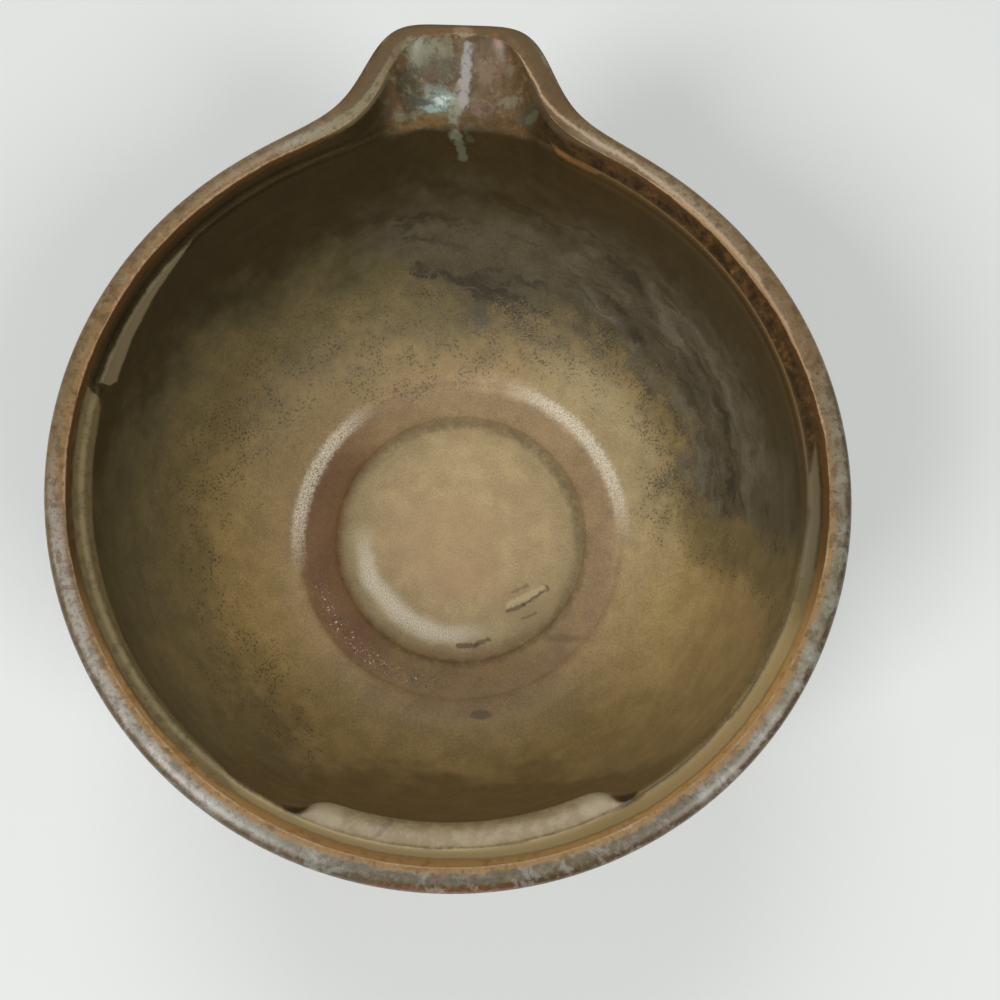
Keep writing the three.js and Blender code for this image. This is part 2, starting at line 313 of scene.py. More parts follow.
# %% What the hand and the fire did
FINGER_PITCH = 5.2
FINGER_DEPTH = 0.05
LUMP_DEPTH = 0.12
MARKS_START, MARKS_END = (14, 30), (66, 56)
PRESS_DEPTH = 1.1
PRESS_SIZE = (1.9, 1.5, 1.6)
PRESS_SPOTS = [(150.2, 7.4), (202.0, 7.4)]
BEAD = (55.1, 41.4, 70.0)
BEAD_SIZE, BEAD_RISE = 0.9, 0.5
FOLD_START, FOLD_END = (12.2, -19.1), (20.0, -15.0)
FOLD_WIDTH, FOLD_RISE = 0.5, 0.45


def smooth(value, low, high):
    """0 below low and 1 above high, with 3t^2 - 2t^3 between; low may be the larger."""
    t = np.clip((value - low) / (high - low), 0, 1)
    return t * t * (3 - 2 * t)


def ring(r, z, shift=0):
    """Points round the axis, one per column, or round a centre that lies back along -Y."""
    return np.stack([r * np.sin(phi), r * np.cos(phi) - shift, z + 0 * phi], axis=-1)


def place(rz, inside):
    """(radius, height) carried round, with the oval; inside, the well is shifted off the axis."""
    r, z = rz[..., 0], rz[..., 1]
    oval = rim_oval * (z / rim_height) ** 2 * np.cos(2 * (phi - np.radians(oval_direction)))
    r = r + oval * smooth(r, 0, 10)
    shift = inside * well_shift * smooth(z, well_height + well_shift_rise, well_height)
    return ring(r, z, shift)


def arc_length(rz):
    """Millimetres along each column's section, from its first row."""
    steps = np.linalg.norm(np.diff(rz, axis=0), axis=-1)
    return np.concatenate([np.zeros((1, len(phi))), np.cumsum(steps, axis=0)])


def normals(grid):
    """Unit cross product of the way along the rows and the way round the columns."""
    along = np.gradient(grid, axis=0)
    around = np.roll(grid, -1, axis=1) - np.roll(grid, 1, axis=1)
    cross = np.cross(along, around)
    return cross / np.linalg.norm(cross, axis=-1, keepdims=True)


def bell(grid, centre, size):
    """exp(-d^2), where d is the distance from the centre in units of the size on each axis."""
    away = (grid - np.array(centre)) / np.array(size)
    return np.exp(-np.sum(away ** 2, axis=-1))


def on_inside(angle, along):
    """The glazed surface's point at an angle, so many millimetres from the lip."""
    column = np.argmin(np.abs(turn_from(phi, angle)))
    row = np.argmin(np.abs(inner_along[:, column] - along))
    return skin[LIP_ROW + row, column].tolist()


def fold(grid):
    """A low ridge along a line on the floor, and a groove beside it on the outer side."""
    start, end = np.array(FOLD_START), np.array(FOLD_END)
    length = np.linalg.norm(end - start)
    way = (end - start) / length
    flat = grid[..., :2] - start
    along = flat @ way
    beside = flat @ np.array([way[1], -way[0]]) + 0.5 * np.sin(along * 0.8)
    on_floor = smooth(grid[..., 2], floor_height + 3, floor_height + 1)
    window = smooth(along, -0.5, 2) * smooth(along, length + 0.5, length - 2) * on_floor
    ridge = np.exp(-(beside / FOLD_WIDTH) ** 2)
    groove = np.exp(-((beside - 1.6 * FOLD_WIDTH) / FOLD_WIDTH) ** 2)
    return FOLD_RISE * window * (ridge - 0.7 * groove)


# %% The glazed surface, from the glaze line over the lip to the floor
outer_rz = outer_section()
inner_rz = inner_section()
outer_along = arc_length(outer_rz)
inner_along = arc_length(inner_rz)
inner_reach = inner_along[-1] - inner_along
past_ridge = inner_along - inner_along[GALLERY_ROWS]
skin_rz = np.concatenate([outer_rz[::-1], inner_rz[1:]])
LIP_ROW = len(outer_rz) - 1

along_skin = np.concatenate([outer_along[::-1], inner_along[1:]])
spiral = along_skin / FINGER_PITCH - phi / (2 * np.pi)
skin_height = skin_rz[..., 1]
wall_share = smooth(skin_height, *MARKS_START) * smooth(skin_height, *MARKS_END)
fingers = FINGER_DEPTH * np.sin(2 * np.pi * spiral) * wall_share
lumps = LUMP_DEPTH * np.sin(3 * phi + 0.09 * skin_height) * np.cos(5 * phi - 0.06 * skin_height)
skin = np.concatenate([place(outer_rz, 0)[::-1], place(inner_rz, 1)[1:]])
skin_normals = normals(skin)

marks = fingers - np.abs(lumps) * wall_share
press_points = [on_inside(angle, along) for angle, along in PRESS_SPOTS]
for spot in press_points:
    marks = marks - PRESS_DEPTH * bell(skin, spot, PRESS_SIZE)
marks = marks + BEAD_RISE * bell(skin, BEAD, BEAD_SIZE) + fold(skin)
skin = skin + skin_normals * marks[..., None]
print("the glazed surface has", skin.shape[0], "rows; the lip's inner edge is row", LIP_ROW)
print("the marks are", marks.min().round(2), "to", marks.max().round(2), "mm high")


# %% [markdown]
# A coat of glaze is that surface and a second one half a millimetre below it, closed where they
# end. A mesh that is closed and points outwards is what the kiln made: no open edge shows, and it
# can be printed.

# %% Closed meshes from rings of points
def to_frame(points):
    """Millimetres from the bowl's axis to metres in the frame, drawn in a little."""
    return points * DRAWN_IN * MM + [axis.x, axis.y, 0]


def ring_faces(rows, columns, poles):
    """Four corners for each cell of the grid, and a fan of three-sided faces at each pole."""
    index = np.arange(rows * columns).reshape(rows, columns)
    here = index[:-1] if poles else index
    there = index[1:] if poles else np.roll(index, -1, axis=0)
    corners = [here, there, np.roll(there, -1, axis=1), np.roll(here, -1, axis=1)]
    faces = np.stack(corners, axis=-1).reshape(-1, 4).tolist()
    if poles:
        first, last = index[0], index[-1]
        start = np.full(columns, rows * columns)
        faces += np.stack([start, first, np.roll(first, -1)], axis=-1).tolist()
        faces += np.stack([last, start + 1, np.roll(last, -1)], axis=-1).tolist()
    return faces


def closed_piece(name, rings, poles=(), **values):
    """A closed mesh through rings (row, column, 3), capped by two poles or joined end to start.
    Each named value is an array (row, column) and becomes an attribute of the points."""
    rows, columns = rings.shape[:2]
    points = rings.reshape(-1, 3)
    if poles:
        points = np.concatenate([points, np.array(poles, float)])
    mesh = bpy.data.meshes.new(name)
    mesh.from_pydata(to_frame(points).tolist(), [], ring_faces(rows, columns, bool(poles)))
    for title, value in values.items():
        flat = value.reshape(-1)
        if poles:
            flat = np.concatenate([flat, [value[0].mean(), value[-1].mean()]])
        layer = mesh.attributes.new(title, "FLOAT", "POINT")
        layer.data.foreach_set("value", flat.astype(np.float32))
    mesh.shade_smooth()
    piece = bpy.data.objects.new(name, mesh)
    bpy.context.scene.collection.objects.link(piece)
    print(name, "has", len(mesh.vertices), "points and", len(mesh.polygons), "faces")
    return piece


def there_and_back(front, back, every):
    """Front rows, then every few of the back rows in reverse, both ends kept."""
    picked = np.unique(np.append(np.arange(0, len(back), every), len(back) - 1))
    return np.concatenate([front, back[picked[::-1]]])


# %% The two coats of glaze
BACK_EVERY = 10
MEETING_GAP = 0.04


def inner_coat():
    """Back rows from the floor up to the lip, then the front rows down to the floor's middle."""
    front = skin[LIP_ROW:]
    back = front - skin_normals[LIP_ROW:] * glaze_thickness
    rings = np.roll(there_and_back(front, back, BACK_EVERY), -len(front), axis=0)
    values = {"along": inner_along, "reach": inner_reach, "past": past_ridge}
    for name, rows in values.items():
        values[name] = np.roll(there_and_back(rows, rows, BACK_EVERY), -len(front), axis=0)
    values["spout"] = np.broadcast_to(trough, rings.shape[:2])
    values["shelf"] = np.broadcast_to(shelf, rings.shape[:2])
    poles = ([0, -well_shift, floor_height - glaze_thickness], [0, -well_shift, floor_height])
    return closed_piece("inner_coat", rings, poles, **values)


def outer_coat():
    """Front rows from the glaze line up over the lip, then the back rows down again."""
    front = skin[:LIP_ROW + 1].copy()
    back = front - skin_normals[:LIP_ROW + 1] * glaze_thickness
    for rows in (front, back):
        way = rows[-2] - rows[-1]
        rows[-1] += way * MEETING_GAP / np.linalg.norm(way, axis=-1, keepdims=True)
    rings = there_and_back(front, back, BACK_EVERY)
    along = there_and_back(outer_along[::-1], outer_along[::-1], BACK_EVERY)
    return closed_piece("outer_coat", rings, along=along)


inner_glaze = inner_coat()
outer_glaze = outer_coat()

# %% [markdown]
# The clay shows only below: a bare band above the foot ring and the recess inside it. It is the
# same surface, sunk by the glaze, and closed underneath. The notch for the spout is cut out of it
# as on the real bowl, so the luted spout keeps its place.


# %% The thrown clay
CLAY_EVERY = 3
NOTCH_SIDES = 96
PAST_TIP = 10


def arc_rows(start, through, end, steps):
    """Rings along a curve from start to end that bends towards a third point."""
    return [ring(*rz[0]) for rz in bezier([still(*start), still(*through), still(*end)], steps)]


def clay_bowl():
    """The recess, the seat of the foot ring, the bare band and the surface below the glaze."""
    inner_foot = foot_radius - foot_width
    recess = foot_height + recess_rise
    middle = (POLE_RADIUS, foot_height + recess_rise / 2)
    band = (mix(foot_radius, glaze_line_radius, 0.8), mix(foot_height, glaze_line_height, 0.75))
    seat_out = (foot_radius + foot_shoulder, foot_height)
    seat_in = (inner_foot - foot_shoulder, foot_height)
    sunk = skin - skin_normals * (glaze_thickness + seat_gap)
    under = [ring(*middle)]
    under += arc_rows(middle, (inner_foot / 3, recess), (inner_foot - 2 * foot_shoulder, recess), 12)
    under += [ring(*seat_in), ring(*seat_out)]
    under += arc_rows(seat_out, (foot_radius + 2 * foot_shoulder, foot_height + 0.2), band, 6)
    rings = np.concatenate([np.stack(under), sunk[::CLAY_EVERY]])
    poles = ([0, 0, middle[1]], [0, -well_shift, floor_height - glaze_thickness - seat_gap])
    return closed_piece("thrown_clay", rings, poles)


def notch_cutter():
    """A round bar along +Y, as wide as the notch with its luting seam."""
    turn = np.linspace(0, 2 * np.pi, NOTCH_SIDES, endpoint=False)
    radius = notch_radius + seat_gap
    reaches = [0.6 * rim_radius, tip_radius + PAST_TIP]
    centre = rim_height + notch_lift
    rings = np.stack([np.stack([radius * np.cos(turn), y + 0 * turn,
                                centre + radius * np.sin(turn)], axis=-1) for y in reaches])
    poles = ([0, reaches[0], centre], [0, reaches[1], centre])
    return closed_piece("notch_cutter", rings, poles)


def cut(piece, cutter):
    """Takes the cutter out of the piece and removes the cutter."""
    tool = piece.modifiers.new("notch", "BOOLEAN")
    tool.operation = "DIFFERENCE"
    tool.solver = "MANIFOLD"
    tool.object = cutter
    graph = bpy.context.evaluated_depsgraph_get()
    whole = piece.data
    piece.data = bpy.data.meshes.new_from_object(piece.evaluated_get(graph))
    piece.modifiers.clear()
    piece.data.shade_smooth()
    bpy.data.meshes.remove(whole)
    bpy.data.objects.remove(cutter)


clay_body = clay_bowl()
cut(clay_body, notch_cutter())
print("after the notch is cut the clay has", len(clay_body.data.polygons), "faces")

# %% [markdown]
# The foot ring is trimmed leather-hard with a loop tool, which leaves fine lines round it and a
# soft bevel where the bowl meets the table.


# %% The foot ring
SIDE_STEPS = 14
TOOL_LINE_DEPTH, TOOL_LINE_PITCH = 0.04, 2 * np.pi / 7
TOOL_START, TOOL_END = (0.3, 1.2), (5.6, 5.0)


def foot_profile():
    """Radius and height round the ring's section: the flat it stands on, bevels, sides and top."""
    inner = foot_radius - foot_width
    top = foot_height - seat_gap
    outer = foot_radius - foot_taper
    corners = [(inner + foot_bevel, 0), (outer - foot_bevel, 0), (outer, foot_bevel),
               (foot_radius, top), (inner, top), (inner, foot_bevel)]
    rows = []
    for start, end in zip(corners, corners[1:] + corners[:1]):
        share = np.linspace(0, 1, SIDE_STEPS, endpoint=False)
        rows.append(np.stack([mix(start[0], end[0], share), mix(start[1], end[1], share)], axis=-1))
    return np.concatenate(rows)


def turned_foot():
    """The profile carried round, with tool lines a few hundredths deep on its sides."""
    radius, height = foot_profile().T
    side = smooth(height, *TOOL_START) * smooth(height, *TOOL_END)
    lines = TOOL_LINE_DEPTH * np.sin(2 * np.pi * height / TOOL_LINE_PITCH) * side
    inward = np.where(radius > foot_radius - foot_width / 2, -1, 1)
    rings = np.stack([ring(r, z) for r, z in zip(radius + inward * np.abs(lines), height)])
    return closed_piece("turned_foot", rings)


foot_ring = turned_foot()

# %% [markdown]
# Every finish is a small graph of nodes. A helper class keeps them short: it adds a node, feeds its
# inputs with numbers or with other nodes' sockets, and gives back the output.


# %% A helper for node graphs
def srgb(red, green, blue):
    """Linear colour of a screen colour from 0 to 255."""
    c = np.array([red, green, blue]) / 255
    return tuple(np.where(c <= 0.04045, c / 12.92, ((c + 0.055) / 1.055) ** 2.4).tolist())


class Graph:
    """Adds nodes to a tree and links what they are given."""

    def __init__(self, tree):
        self.tree = tree

    def feed(self, socket, value):
        if isinstance(value, bpy.types.NodeSocket):
            self.tree.links.new(value, socket)
        elif socket.type == "RGBA":
            socket.default_value = (*value, 1)
        else:
            socket.default_value = value

    def node(self, kind, inputs=None, **settings):
        made = self.tree.nodes.new(kind)
        for name, value in settings.items():
            setattr(made, name, value)
        for name, value in (inputs or {}).items():
            self.feed(made.inputs[name], value)
        return made

    def math(self, operation, *values, clamp=False):
        inputs = dict(enumerate(values))
        return self.node("ShaderNodeMath", inputs, operation=operation, use_clamp=clamp).outputs[0]

    def add(self, a, b):
        return self.math("ADD", a, b)

    def less(self, a, b):
        return self.math("SUBTRACT", a, b)

    def times(self, a, b):
        return self.math("MULTIPLY", a, b)

    def scaled(self, a, b, c):
        """a times b plus c."""
        return self.math("MULTIPLY_ADD", a, b, c)

    def vector(self, operation, *values):
        inputs = dict(enumerate(values))
        made = self.node("ShaderNodeVectorMath", inputs, operation=operation)
        return made.outputs["Value"] if operation in ("LENGTH", "DOT_PRODUCT") else made.outputs[0]

    def smooth(self, value, low, high, most=1.0, least=0.0):
        """The least at low, the most at high, 3t^2 - 2t^3 between; low may be the larger."""
        inputs = {"Value": value, "From Min": low, "From Max": high, "To Min": least, "To Max": most}
        made = self.node("ShaderNodeMapRange", inputs, interpolation_type="SMOOTHSTEP")
        return made.outputs[0]

    def mix(self, share, under, over):
        """One colour over another by a share."""
        made = self.node("ShaderNodeMix", data_type="RGBA")
        self.feed(made.inputs[0], share)
        self.feed(made.inputs[6], under)
        self.feed(made.inputs[7], over)
        return made.outputs[2]

    def noise(self, vector, scale, detail=3.0, rough=0.55, twist=0.0):
        inputs = {"Vector": vector, "Scale": scale, "Detail": detail,
                  "Roughness": rough, "Distortion": twist}
        return self.node("ShaderNodeTexNoise", inputs).outputs[0]

    def ramp(self, value, stops):
        """Colours and alphas at places from 0 to 1."""
        made = self.node("ShaderNodeValToRGB", {"Fac": value})
        elements = made.color_ramp.elements
        while len(elements) < len(stops):
            elements.new(0.5)
        for element, (place_on_ramp, colour, alpha) in zip(elements, stops):
            element.position = place_on_ramp
            element.color = (*colour, alpha)
        return made.outputs

    def attribute(self, name):
        return self.node("ShaderNodeAttribute", attribute_name=name).outputs["Fac"]


# %% [markdown]
# Eight effects are used again and again, so each is a node group: the place on the bowl in
# millimetres, a soft patch, a stroke, a sector of the round, a band of distances, specks, streaks
# that follow the wheel, and runs that go down the wall.


# %% Node groups
FLOAT, VECTOR = "NodeSocketFloat", "NodeSocketVector"


def group(name, fill, outputs, **inputs):
    """A shader node group; fill(graph, inputs) gives back its outputs by name. An input whose start
    value is a number is a number, and every other input is a vector."""
    tree = bpy.data.node_groups.new(name, "ShaderNodeTree")
    for title, value in inputs.items():
        kind = FLOAT if isinstance(value, float) else VECTOR
        socket = tree.interface.new_socket(title, in_out="INPUT", socket_type=kind)
        if value is not None:
            socket.default_value = value
    for title, kind in outputs.items():
        tree.interface.new_socket(title, in_out="OUTPUT", socket_type=kind)
    graph = Graph(tree)
    start = graph.node("NodeGroupInput")
    end = graph.node("NodeGroupOutput")
    for title, socket in fill(graph, start.outputs).items():
        graph.feed(end.inputs[title], socket)
    print("node group", name, "has", len(tree.nodes), "nodes")
    return tree


def fill_place(graph, given):
    """Millimetres from the axis, the radius, the height, and the direction round the axis: as a
    unit vector, as its share of a turn, and as its two parts."""
    move = {"Vector": given["Object"], "Location": (-axis.x / MM, -axis.y / MM, 0),
            "Scale": (1 / MM,) * 3}
    point = graph.node("ShaderNodeMapping", move).outputs[0]
    part = graph.node("ShaderNodeSeparateXYZ", {0: point}).outputs
    flat = graph.node("ShaderNodeCombineXYZ", {0: part[0], 1: part[1], 2: 0.0}).outputs[0]
    radius = graph.vector("LENGTH", flat)
    turn = graph.scaled(graph.math("ARCTAN2", part[0], part[1]), 0.5 / np.pi, 0.5)
    return {"Point": point, "Radius": radius, "Height": part[2],
            "Around": graph.vector("NORMALIZE", flat), "Turn": turn,
            "Side": graph.math("DIVIDE", part[0], radius),
            "Front": graph.math("DIVIDE", part[1], radius)}


def fill_patch(graph, given):
    """1 inside an ellipsoid about the centre, fading out at its skin, its edge stirred by noise."""
    stir = graph.noise(given["Point"], 0.42, 5.0, 0.72)
    push = graph.times(graph.less(stir, 0.5), given["Stir"])
    away = graph.vector("DIVIDE", graph.vector("SUBTRACT", given["Point"], given["Centre"]),
                        given["Size"])
    reach = graph.add(graph.vector("LENGTH", away), push)
    return {"Mask": graph.smooth(reach, 1.25, 0.6)}


def fill_stroke(graph, given):
    """1 on the way from Start to End, 0 at Width beside it, its sides stirred by noise."""
    way = graph.vector("SUBTRACT", given["End"], given["Start"])
    here = graph.vector("SUBTRACT", given["Point"], given["Start"])
    share = graph.math("DIVIDE", graph.vector("DOT_PRODUCT", here, way),
                       graph.vector("DOT_PRODUCT", way, way), clamp=True)
    nearest = graph.vector("MULTIPLY", way, share)
    away = graph.vector("LENGTH", graph.vector("SUBTRACT", here, nearest))
    stir = graph.less(graph.noise(given["Point"], 0.9, 2.0), 0.5)
    away = graph.add(away, graph.times(stir, given["Wander"]))
    return {"Mask": graph.smooth(away, given["Width"], graph.times(given["Width"], 0.4))}


def fill_sector(graph, given):
    """1 where the direction round the axis is near the middle one; Inner and Outer are cosines."""
    towards_middle = graph.vector("DOT_PRODUCT", given["Around"], given["Middle"])
    return {"Mask": graph.smooth(towards_middle, given["Outer"], given["Inner"])}


def fill_band(graph, given):
    """1 from Low to High, falling to 0 over Soft on both sides."""
    value, low, high, soft = given["Value"], given["Low"], given["High"], given["Soft"]
    rise = graph.smooth(value, graph.less(low, soft), graph.add(low, soft))
    fall = graph.smooth(value, graph.add(high, soft), graph.less(high, soft))
    return {"Mask": graph.times(rise, fall)}


def fill_specks(graph, given):
    """Spots where a fine noise is high; Amount shifts the threshold, from 0 to 1."""
    grain = graph.noise(given["Point"], given["Scale"], 1.0, 0.6)
    edge = graph.less(0.95, graph.times(given["Amount"], 0.6))
    top = graph.add(edge, 0.06)
    return {"Mask": graph.smooth(grain, edge, top)}


def long_noise(graph, given, around, across):
    """Noise over a circle whose radius is around, with across as the height."""
    space = {0: graph.times(given["Side"], around), 1: graph.times(given["Front"], around), 2: across}
    vector = graph.node("ShaderNodeCombineXYZ", space).outputs[0]
    return {"Mask": graph.noise(vector, 1.0, 4.0, 0.6, 0.8)}


def fill_wheel_streaks(graph, given):
    """Noise that is long round the wheel and short across it."""
    tilt = graph.times(given["Side"], given["Tilt"])
    across = graph.times(graph.add(given["Reach"], tilt), given["Fine"])
    return long_noise(graph, given, given["Long"], across)


def fill_runs(graph, given):
    """Noise that is long down the wall and short round it, as glaze runs in the kiln."""
    return long_noise(graph, given, given["Wide"], graph.times(given["Height"], given["Fine"]))


PLACE = {"Point": VECTOR, "Radius": FLOAT, "Height": FLOAT, "Around": VECTOR, "Turn": FLOAT,
         "Side": FLOAT, "Front": FLOAT}
MASK = {"Mask": FLOAT}
place_group = group("place on the bowl", fill_place, PLACE, Object=None)
patch_group = group("soft patch", fill_patch, MASK, Point=None, Centre=None, Size=(5, 5, 5), Stir=0.8)
stroke_group = group("stroke", fill_stroke, MASK, Point=None, Start=None, End=None, Width=1.0,
                     Wander=0.8)
sector_group = group("sector", fill_sector, MASK, Around=None, Middle=(0, 1, 0), Outer=0.0, Inner=1.0)
band_group = group("band", fill_band, MASK, Value=0.0, Low=0.0, High=1.0, Soft=0.5)
specks_group = group("specks", fill_specks, MASK, Point=None, Scale=1.0, Amount=0.5)
streaks_group = group("wheel streaks", fill_wheel_streaks, MASK, Side=0.0, Front=1.0, Reach=0.0,
                      Long=2.0, Fine=0.3, Tilt=0.0)
runs_group = group("glaze runs", fill_runs, MASK, Side=0.0, Front=1.0, Height=0.0, Wide=20.0,
                   Fine=0.05)


# %% [markdown]
# A finish is a graph with a colour in the making. Each paint lays a new colour over the present one
# through one or more masks, so the order of the paints is the order in which they cover each other.


# %% Start of a finish
class Finish(Graph):
    """A material with one Principled shader, the bowl's own coordinates, and a colour in the making."""

    def __init__(self, name, roughness):
        self.material = bpy.data.materials.new(name)
        self.material.use_nodes = True
        super().__init__(self.material.node_tree)
        self.shader = self.tree.nodes["Principled BSDF"]
        self.shader.inputs["Roughness"].default_value = roughness
        where = self.node("ShaderNodeTexCoord").outputs["Object"]
        here = self.use(place_group, Object=where)
        self.point, self.radius, self.height, self.around, self.turn, self.side, self.front = here
        self.sectors = {}

    def use(self, tree, **inputs):
        """Adds a node group and gives back its outputs."""
        made = self.node("ShaderNodeGroup", node_tree=tree)
        for name, value in inputs.items():
            self.feed(made.inputs[name], value)
        return made.outputs

    def centred(self, scale, detail=3.0, rough=0.55, size=1.0):
        """Noise about zero, from about -size / 2 to size / 2."""
        noise = self.noise(self.point, scale, detail, rough)
        return self.times(self.less(noise, 0.5), size)

    def border(self, turn, stops):
        """A length in millimetres that changes round the bowl, from a table of angle and length."""
        places = [((angle + 180) / 360, (0, 0, 0), length / RAMP_REACH) for angle, length in stops]
        return self.times(self.ramp(turn, places)["Alpha"], RAMP_REACH)

    def between(self, value, low, high, soft):
        """1 from one border to another, each a socket or a number, soft on both sides."""
        rise = self.smooth(self.less(value, low), -soft, soft)
        return self.times(rise, self.smooth(self.less(value, high), soft, -soft))

    def sector(self, middle, half, soft):
        """1 within half a span of the middle angle, 0 a soft width beyond it, all in degrees."""
        key = (middle, half, soft)
        if key not in self.sectors:
            angle, inner, outer = np.radians([middle, half - soft / 2, half + soft / 2]).tolist()
            made = self.use(sector_group, Around=self.around, Middle=(np.sin(angle), np.cos(angle), 0),
                            Outer=np.cos(min(outer, np.pi)), Inner=np.cos(max(inner, 0)))
            self.sectors[key] = made[0]
        return self.sectors[key]

    def band(self, value, low, high, soft):
        return self.use(band_group, Value=value, Low=low, High=high, Soft=soft)[0]

    def patch(self, centre, size, stir=0.8):
        return self.use(patch_group, Point=self.point, Centre=centre, Size=size, Stir=stir)[0]

    def stroke(self, start, end, width, wander=0.8):
        return self.use(stroke_group, Point=self.point, Start=start, End=end, Width=width,
                        Wander=wander)[0]

    def specks(self, scale, amount):
        return self.use(specks_group, Point=self.point, Scale=scale, Amount=amount)[0]

    def streaks(self, reach, length, fine, tilt=0.0):
        return self.use(streaks_group, Side=self.side, Front=self.front, Reach=reach, Long=length,
                        Fine=fine, Tilt=tilt)[0]

    def runs(self, wide, fine):
        return self.use(runs_group, Side=self.side, Front=self.front, Height=self.height,
                        Wide=wide, Fine=fine)[0]

    def paint(self, tint, most, *masks):
        """Lays a screen colour over the present one, by the product of the masks, times the most."""
        share = most
        for mask in masks:
            share = self.times(share, mask)
        self.colour = self.mix(share, self.colour, srgb(*tint))

    def shade(self, factor):
        """Multiplies the colour by a number, which keeps dark glaze dark."""
        whole = {"Value": factor, "Color": self.colour}
        self.colour = self.node("ShaderNodeHueSaturation", whole).outputs[0]

    def paint_bands(self, measure, rows):
        """Paints each row of a table: from, to, softness; sector; colour; greatest share."""
        for low, high, soft, (middle, half, sector_soft), tint, most in rows:
            self.paint(tint, most, self.band(measure, low, high, soft),
                       self.sector(middle, half, sector_soft))

    def bump(self, height, distance, strength):
        inputs = {"Height": height, "Distance": distance, "Strength": strength}
        return self.node("ShaderNodeBump", inputs).outputs[0]

    def set(self, **inputs):
        for name, value in inputs.items():
            self.feed(self.shader.inputs[name.replace("_", " ")], value)


# %% [markdown]
# The inner glaze is one satin coat whose colour follows its thickness and the fire: tan on the
# floor's disc, red-brown where it thins in the channel, ochre round the well, olive up the wall and
# dark umber under the spout. Three attributes of the mesh measure it in millimetres: `reach` from
# the floor's middle, `along` from the lip, and `past` from the ridge, so that every band follows
# the form even where it turns into the spout. A colour is written as it should look on a screen.

# %% Colours from the floor's middle outwards
RAMP_REACH = 120
FLOOR_TO_RIM = [
    (0, (163, 140, 101)), (19, (161, 140, 101)), (25.5, (152, 133, 94)), (28, (128, 110, 76)),
    (31, (142, 119, 82)), (34, (138, 113, 78)), (37.5, (134, 110, 76)), (40, (148, 124, 84)),
    (45, (142, 119, 74)), (56, (140, 118, 73)), (75, (140, 118, 76)), (110, (134, 112, 72)),
]

# %% [markdown]
# A row of the floor's table says where a colour lies: from, to and softness outwards, then the
# sector as middle, half span and softness in degrees, then the colour and its greatest share. The
# wall's colours begin at borders that run round the bowl, each a list of angle and distance from the
# floor's middle. Noise of two sizes stirs a border: the coarse one bends it, and the fine one
# breaks it up into specks.

# %% Zones of the floor and the wall
FLOOR_ZONES = [
    (28.5, 38, 1.6, (-104, 54, 30), (110, 78, 46), 0.9),
    (28.5, 40.5, 1.6, (50, 66, 50), (150, 127, 92), 0.7),
    (27, 42, 2.0, (178, 28, 36), (136, 110, 70), 0.8),
    # A painted highlight: a pale band where the well's edge catches the light at the far right.
    (36.4, 42, 1.0, (52, 40, 40), (178, 158, 120), 0.5),
    (42, 66, 6.0, (110, 24, 24), (156, 133, 88), 0.6),
    (40.5, 54, 4.0, (64, 34, 34), (166, 147, 104), 0.8),
]
NEAR_BORDER = [(-180, 58), (-160, 64), (-146, 92), (-130, 119), (118, 119), (140, 104), (156, 66),
               (180, 58)]
OLIVE_BORDER = [(-180, 100), (-158, 78), (-140, 62), (-80, 61), (-40, 50), (-8, 44), (14, 47), (60, 59),
                (88, 51), (97, 58), (108, 96), (140, 116), (180, 100)]
GREY_BORDER = [(-180, 110), (-150, 96), (-110, 84), (-80, 80), (-50, 74), (-30, 66), (-10, 62), (0, 119),
               (180, 110)]
UMBER_BORDER = [(-180, 119), (-140, 110), (-110, 105), (-90, 99), (-60, 88), (-30, 77), (-14, 84),
                (10, 88), (40, 91), (80, 95), (92, 106), (102, 119), (180, 119)]
VIOLET_BORDER = [(-180, 119), (-36, 104), (-24, 80), (-10, 61), (4, 54), (20, 59), (60, 61), (80, 56),
                 (89, 66), (97, 86), (108, 119), (180, 119)]
NEAR_BROWN, OLIVE, GREY_OLIVE = (104, 84, 50), (106, 93, 60), (84, 77, 54)
UMBER, WARM_UMBER = (47, 37, 17), (64, 50, 27)
VIOLET, LIGHT_STROKE, DARK_STROKE = (80, 72, 57), (114, 106, 90), (48, 42, 33)
DARK_SPECK, PAINTED_GLINT = (56, 46, 26), (222, 211, 188)
